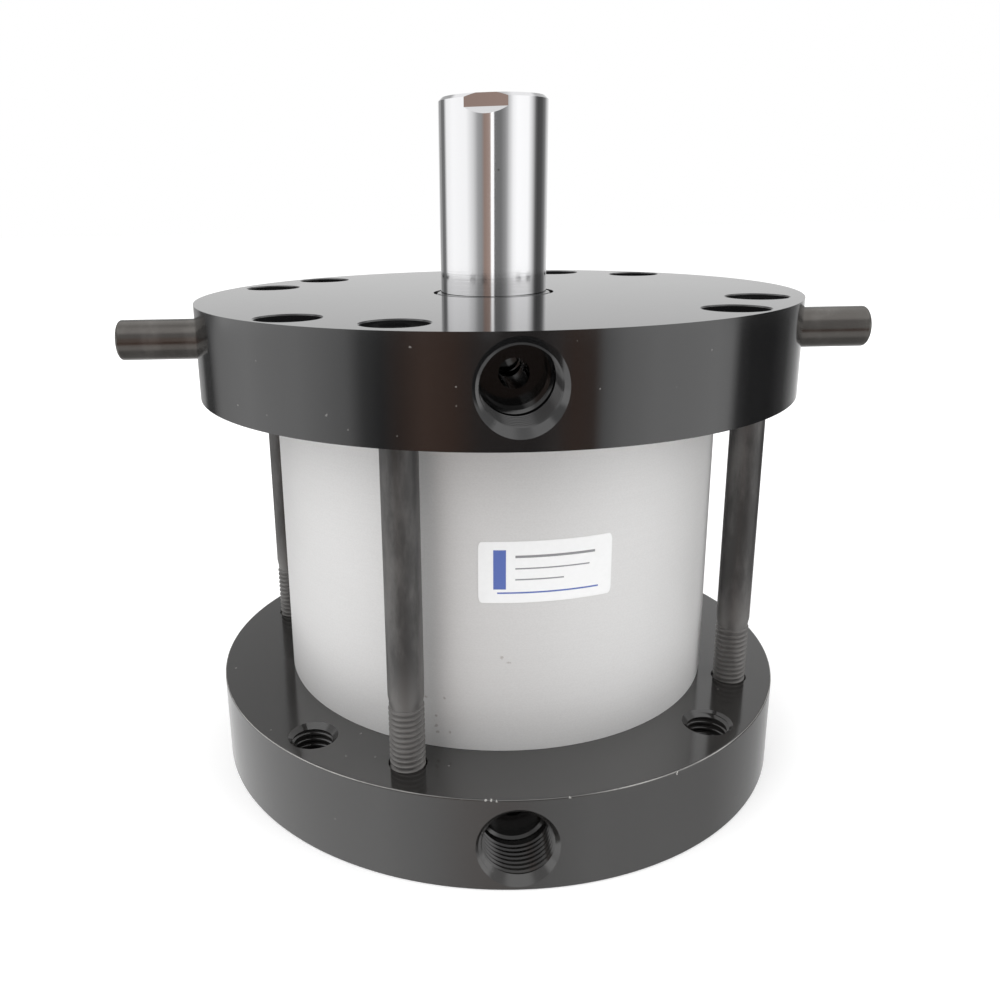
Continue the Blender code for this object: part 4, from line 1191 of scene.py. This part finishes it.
@dataclass
class PistonRod:
    """The chromed rod: shoulder and spigot below, wrench flats and a threaded hole on top."""

    low: float
    high: float
    radius: float
    end_chamfer: float = 0.8 * MM
    spigot_radius: float = 10.2 * MM
    spigot_height: float = 4.0 * MM
    groove_floor: float = 8.6 * MM
    groove_low: float = 0.9 * MM
    groove_width: float = 1.9 * MM
    bolt_radius: float = 6.3 * MM
    bolt_depth: float = 27.0 * MM
    hole_depth: float = 28.0 * MM
    hole_mouth: float = 8.2 * MM
    drill_point: float = 4.2 * MM
    point_radius: float = 0.1 * MM
    drill_gap: float = 0.05 * MM
    sides: int = 192
    thread: Thread = Thread(root=6.9 * MM, crest=8.0 * MM, pitch=2.0 * MM, steps=64)
    thread_depth: float = 24.0 * MM
    flat_depth: float = 1.0 * MM
    flat_length: float = 2.9 * MM
    flat_runout: float = 1.5 * MM
    flat_turn: float = math.radians(-101.8)

    def blank(self) -> Shape:
        """Turn the rod with its shoulder, spigot and seal groove, and bore both ends."""
        shoulder = self.low + self.spigot_height
        groove_low = self.low + self.groove_low
        levels = (self.low, groove_low, groove_low + self.groove_width, shoulder)
        end_radius = self.radius - self.end_chamfer
        rod = Shape.turned("piston_rod_detailed", [
            *stairs((self.spigot_radius, self.groove_floor, self.spigot_radius), levels),
            (end_radius, shoulder),
            *stairs((self.radius,), (shoulder + self.end_chamfer, self.high - self.end_chamfer)),
            (end_radius, self.high),
        ], self.sides)
        bolt_wall = stairs((self.bolt_radius,), (self.low - CUT_MARGIN, self.low + self.bolt_depth))
        rod.cut(Shape.turned("bolt_hole", bolt_wall, HOLE_SIDES))
        top = self.high + CUT_MARGIN
        drill_low = self.high - self.hole_depth
        rod.cut(Shape.turned("rod_drill", [
            (self.point_radius, drill_low - self.drill_point),
            *stairs((self.thread.root + self.drill_gap,), (drill_low, top)),
        ], HOLE_SIDES))
        rod.cut(Shape.threaded("rod_tap", self.thread, self.high - self.thread_depth, top))
        sink = self.hole_mouth - self.thread.root
        rod.cut(Shape.turned("rod_sink", [
            (self.thread.root - CUT_MARGIN, self.high - sink - CUT_MARGIN),
            (self.hole_mouth + CUT_MARGIN, top),
        ], HOLE_SIDES))
        return rod

    def flats(self) -> Shape:
        """Model the cutter of both wrench flats, each a block with a sloped underside."""
        face = self.radius - self.flat_depth
        flat_low = self.high - self.flat_length
        reach = 2.0 * CUT_MARGIN
        middle, height = face + reach / 2.0, flat_low + reach / 2.0
        bpy.ops.object.select_all(action="DESELECT")
        bpy.ops.mesh.primitive_cube_add(size=1.0, location=(middle, 0.0, height))
        block = Shape("flat_block")
        block.object.scale = (reach, 4.0 * self.radius, reach)
        block.settle()
        slope = self.flat_runout / self.flat_depth
        with block.editing("EDGE", "DESELECT"):
            block.pick_edges(lambda first, second: min(first.x, second.x) > middle
                             and max(first.z, second.z) < height)
            bpy.ops.transform.translate(value=(0.0, 0.0, -slope * reach))
        turns = (self.flat_turn, self.flat_turn + math.pi)
        return block.repeated([Matrix.Rotation(turn, 4, "Z") for turn in turns])

    def build(self) -> None:
        """Model and dress the rod."""
        rod = self.blank()
        rod.cut(self.flats())
        rod.finish(HardChrome().make(), Body.ROD, Slot.ROD, "piston_rod", crease=20.0)


@dataclass
class Wiper:
    """The scraper ring in the gland's mouth, with its lip up against the rod."""

    low: float
    high: float
    rod_radius: float
    outer: float
    running_gap: float = 0.3 * MM
    lip_gap: float = 0.05 * MM
    lip_wall: float = 1.5 * MM
    lip_land: float = 0.7 * MM
    lip_edge: float = 0.8 * MM
    lip_rise: float = 0.12 * MM
    body_height: float = 4.4 * MM

    def build(self) -> None:
        """Model and dress the ring."""
        shoulder = self.low + self.body_height
        bore = self.rod_radius + self.running_gap
        lip = self.rod_radius + self.lip_gap
        lip_outer = lip + self.lip_wall
        flush = self.high + self.lip_rise
        ring = Shape.turned("rod_wiper_detailed", [
            (bore, self.low),
            *stairs((self.outer, lip_outer), (self.low, shoulder, flush - self.lip_edge)),
            (lip + self.lip_land, flush),
            *stairs((lip,), (flush, self.high - self.lip_edge)),
            (bore, self.high - 2.0 * self.lip_edge),
        ], RING_SIDES, ring=True)
        finish = Elastomer("wiper_polyurethane", (0.014, 0.014, 0.015), 0.16)
        ring.finish(finish.make(), Body.CYLINDER, Slot.WIPER, "rod_wiper")


class InnerPieces:
    """The CAD pieces inside the cylinder, which keep their shapes and get real finishes."""

    def dress(self) -> None:
        """Give each inner CAD node its finish."""
        finishes = (
            (Elastomer("nitrile_rubber", (0.016, 0.016, 0.017), 0.68),
             ("barrel_seal_lower", "barrel_seal_upper", "rod_static_seal")),
            (Elastomer("dark_polyurethane", (0.024, 0.026, 0.032), 0.5),
             ("bumper_lower", "bumper_upper", "rod_seal", "piston_seal_lower",
              "piston_seal_upper")),
            (Elastomer("guide_strip", (0.19, 0.13, 0.08), 0.6), ("wear_ring",)),
            (TurnedMetal("bush_bronze", (0.50, 0.34, 0.14), 0.38), ("rod_bushing",)),
            (TurnedMetal("piston_aluminium", (0.72, 0.72, 0.73), 0.32), ("piston",)),
            (TurnedMetal("zinc_plate", (0.55, 0.56, 0.58), 0.34), ("piston_washer",)),
            (OxideSteel("bolt_oxide", grey(0.03), grey(0.08), 0.4), ("piston_bolt",)),
        )
        for finish, nodes in finishes:
            material = finish.make()
            for node in nodes:
                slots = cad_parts[node].data.materials
                slots.clear()
                slots.append(material)
                LOG.info("%s keeps its CAD shape", node)


@dataclass(frozen=True)
class Wall:
    """A band of the studio's walls: rows of angle from the front, level of grey and any warmth."""

    stops: tuple[tuple[float, ...], ...]

    def value(self, graph: Graph, around: Value) -> Value:
        """Give the wall's colour at an angle, as a share of a full turn from the back."""
        stops = [((angle + 180.0) / 360.0, grey(*shade)) for angle, *shade in self.stops]
        ramp = graph.node("ShaderNodeValToRGB", {"stops": stops}, {0: around})
        return Value(graph, ramp.outputs[0])


@dataclass(frozen=True)
class Studio:
    """The pale floor, the soft lamps, the walls that gloss reflects, and the camera."""

    camera_place: tuple[float, float, float] = (-0.016316, -0.233335, 0.136640)
    camera_right: tuple[float, float, float] = (0.999745, -0.014209, -0.017523)
    camera_up: tuple[float, float, float] = (0.020815, 0.281427, 0.959357)
    lens: float = 34.11
    shift: tuple[float, float] = (0.06177, -0.02406)
    floor_size: float = 8.0
    diffuse_level: float = 0.55
    overhead: Colour = grey(1.1)
    zenith: Colour = grey(0.7)
    foot: Colour = grey(0.35)
    horizon: Wall = Wall((
        (-180.0, 0.84), (-164.0, 0.80), (-158.0, 0.40), (-147.0, 0.40), (-142.0, 0.20),
        (-129.0, 0.20), (-119.0, 1.15), (-98.0, 1.30), (-62.0, 1.25), (-46.0, 0.85), (-36.0, 0.44),
        (-28.0, 0.35), (-22.0, 0.36, 0.28), (-9.5, 0.46, 0.24), (-8.0, 1.60), (-3.0, 1.60),
        (-1.5, 0.21), (12.0, 0.22), (22.0, 0.38), (38.0, 1.20), (48.0, 1.36), (74.0, 1.32),
        (84.0, 0.90), (96.0, 0.16), (103.0, 0.08), (118.0, 0.10), (132.0, 0.24), (141.0, 0.55),
        (151.0, 0.82), (180.0, 0.84),
    ))
    below: Wall = Wall((
        (-180.0, 0.90), (-158.0, 0.48), (-148.0, 0.38), (-143.0, 0.09), (-135.0, 0.09),
        (-127.0, 0.50), (-104.0, 1.00), (-78.0, 1.10), (-66.0, 0.92), (-57.0, 0.74), (-51.0, 0.24),
        (-44.0, 0.08), (-36.0, 0.18, 0.45), (-28.0, 0.34, 0.45), (-18.0, 0.24, 0.52),
        (-9.0, 0.08, 0.30), (11.0, 0.06, 0.30), (18.0, 0.16, 0.20), (24.0, 0.20, 0.50),
        (31.0, 0.20, 0.40), (35.0, 0.62), (42.0, 0.96), (54.0, 1.18), (80.0, 1.16), (87.0, 0.98),
        (92.0, 0.12), (98.0, 0.03), (113.0, 0.02), (125.0, 0.10), (138.0, 0.45), (152.0, 0.85),
        (180.0, 0.90),
    ))
    above: Wall = Wall((
        (-180.0, 0.36, 0.06), (-174.0, 0.44), (-165.0, 0.48), (0.0, 0.50), (150.0, 0.56),
        (163.0, 0.72), (169.0, 0.82), (174.0, 0.62, 0.10), (180.0, 0.36, 0.06),
    ))
    ground: Wall = Wall((
        (-180.0, 0.80), (-120.0, 1.02), (-50.0, 1.06), (-30.0, 0.88), (-14.0, 0.70, 0.06),
        (0.0, 0.58, 0.08), (16.0, 0.66), (36.0, 0.80), (66.0, 0.70), (92.0, 0.52), (130.0, 0.55),
        (180.0, 0.80),
    ))

    def build(self) -> None:
        """Build the whole studio."""
        self.build_floor()
        self.build_walls()
        self.build_lamps()
        self.build_camera()

    def build_floor(self) -> None:
        """Lay a pale floor that the camera sees white, with the object's shadow on it."""
        bpy.ops.object.select_all(action="DESELECT")
        bpy.ops.mesh.primitive_plane_add(size=self.floor_size, location=(0.0, 0.0, -0.05 * MM))
        floor = Shape("floor")
        floor.settle()
        made, graph = new_material("floor_paint")
        paint = graph.node("ShaderNodeBsdfDiffuse", {}, {"Color": (0.80, 0.80, 0.80, 1.0)})
        x, y, z = graph.place()
        away = graph.length(graph.vector(x, y, 0.0))
        shine = graph.mix(away.faded(0.10, 0.90), grey(0.58), grey(1.0))
        glow = graph.node("ShaderNodeEmission", {}, {"Color": shine, "Strength": 0.62})
        both = graph.node("ShaderNodeAddShader", {}, {0: paint.outputs[0], 1: glow.outputs[0]})
        path = graph.node("ShaderNodeLightPath")
        seen = graph.node("ShaderNodeMixShader", {}, {
            0: path.outputs["Is Camera Ray"], 1: paint.outputs[0], 2: both.outputs[0]})
        graph.node("ShaderNodeOutputMaterial", {}, {"Surface": seen.outputs[0]})
        floor.object.data.materials.append(made)
        floor.object.visible_glossy = False

    def build_walls(self) -> None:
        """Set the world: white to the camera, soft to matt surfaces, bands of wall to gloss."""
        world = bpy.data.worlds.new("studio")
        bpy.context.scene.world = world
        world.use_nodes = True
        graph = Graph(world.node_tree)
        direction = graph.node("ShaderNodeTexCoord").outputs["Generated"]
        split = graph.node("ShaderNodeSeparateXYZ", {}, {"Vector": direction})
        x, y, z = (Value(graph, split.outputs[axis]) for axis in range(3))
        around = x.angle_to(y * -1.0) * (1.0 / FULL_TURN) + 0.5
        walls = self.horizon.value(graph, around)
        bands = (
            (-0.095, -0.135, self.below.value(graph, around)),
            (-0.28, -0.42, self.ground.value(graph, around)),
            (0.17, 0.35, self.above.value(graph, around)),
            (0.60, 0.72, self.overhead),
            (0.92, 0.98, self.zenith),
            (-0.68, -0.85, self.foot),
        )
        for start, end, band in bands:
            walls = graph.mix(z.faded(start, end), walls, band)
        path = graph.node("ShaderNodeLightPath")
        glossy = Value(graph, path.outputs["Is Glossy Ray"])
        plain = (Value(graph, path.outputs["Is Camera Ray"])
                 + Value(graph, path.outputs["Is Transmission Ray"])).clamped()
        soft = (self.diffuse_level,) * 3
        light = graph.mix(plain, graph.mix(glossy, soft, walls), (1.0, 1.0, 1.0))
        background = graph.node("ShaderNodeBackground", {}, {"Color": light, "Strength": 1.0})
        graph.node("ShaderNodeOutputWorld", {}, {"Surface": background.outputs[0]})

    def build_lamps(self) -> None:
        """Hang three soft lamps, which matt surfaces see and gloss doesn't."""
        lamps = (
            ("key_lamp", (-0.75, -0.55, 0.85), 1.0, 7.1),
            ("fill_lamp", (0.85, -0.45, 0.60), 1.0, 5.4),
            ("top_lamp", (0.0, 0.35, 1.20), 1.2, 5.0),
        )
        for name, place, size, power in lamps:
            data = bpy.data.lights.new(name, "AREA")
            data.shape = "DISK"
            data.size = size
            data.energy = power
            lamp = bpy.data.objects.new(name, data)
            bpy.context.scene.collection.objects.link(lamp)
            lamp.location = place
            aim = Vector((0.0, 0.0, 0.06)) - Vector(place)
            lamp.rotation_euler = aim.to_track_quat("-Z", "Y").to_euler()
            lamp.visible_glossy = False

    def build_camera(self) -> None:
        """Put the camera where the photograph was taken from."""
        right, up = Vector(self.camera_right), Vector(self.camera_up)
        back = right.cross(up)
        data = bpy.data.cameras.new("camera")
        data.sensor_width = 36.0
        data.lens = self.lens
        data.shift_x, data.shift_y = self.shift
        data.clip_start = 0.01
        camera = bpy.data.objects.new("camera", data)
        bpy.context.scene.collection.objects.link(camera)
        turn = Matrix((right, up, back)).transposed().to_4x4()
        camera.matrix_world = Matrix.Translation(self.camera_place) @ turn
        bpy.context.scene.camera = camera


def main() -> None:
    """Build the dressed cylinder and its studio."""
    logging.basicConfig(level=logging.INFO, format="%(name)s: %(message)s")
    cap_low, cap_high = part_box("cap_end_plate")
    head_low, head_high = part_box("rod_end_plate")
    tube_low, tube_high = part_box("barrel")
    screw_low, screw_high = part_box("tie_screw_1")
    rod_low, rod_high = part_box("piston_rod")
    pin_low, pin_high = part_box("side_pin_right")
    wiper_low, wiper_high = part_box("rod_wiper")
    screws = [f"tie_screw_{number}" for number in range(1, 5)]
    places = {node: tuple((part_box(node)[0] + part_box(node)[1]).xy / 2.0) for node in screws}
    CapEndPlate("cap_end_plate", cap_low.z, 1.0, cap_high.x).build()
    RodEndPlate("rod_end_plate", head_high.z, -1.0, head_high.x).build()
    Tube(tube_low.z, tube_high.z, tube_high.x).build()
    TieScrews(screw_low.z, screw_high.z, places).build()
    SidePins((pin_low.z + pin_high.z) / 2.0, pin_low.x, pin_high.x).build()
    PistonRod(rod_low.z, rod_high.z, rod_high.x).build()
    Wiper(wiper_low.z, wiper_high.z, rod_high.x, wiper_high.x).build()
    InnerPieces().dress()
    Studio().build()
    bpy.context.scene.view_settings.view_transform = "Standard"


if __name__ == "__main__":
    main()
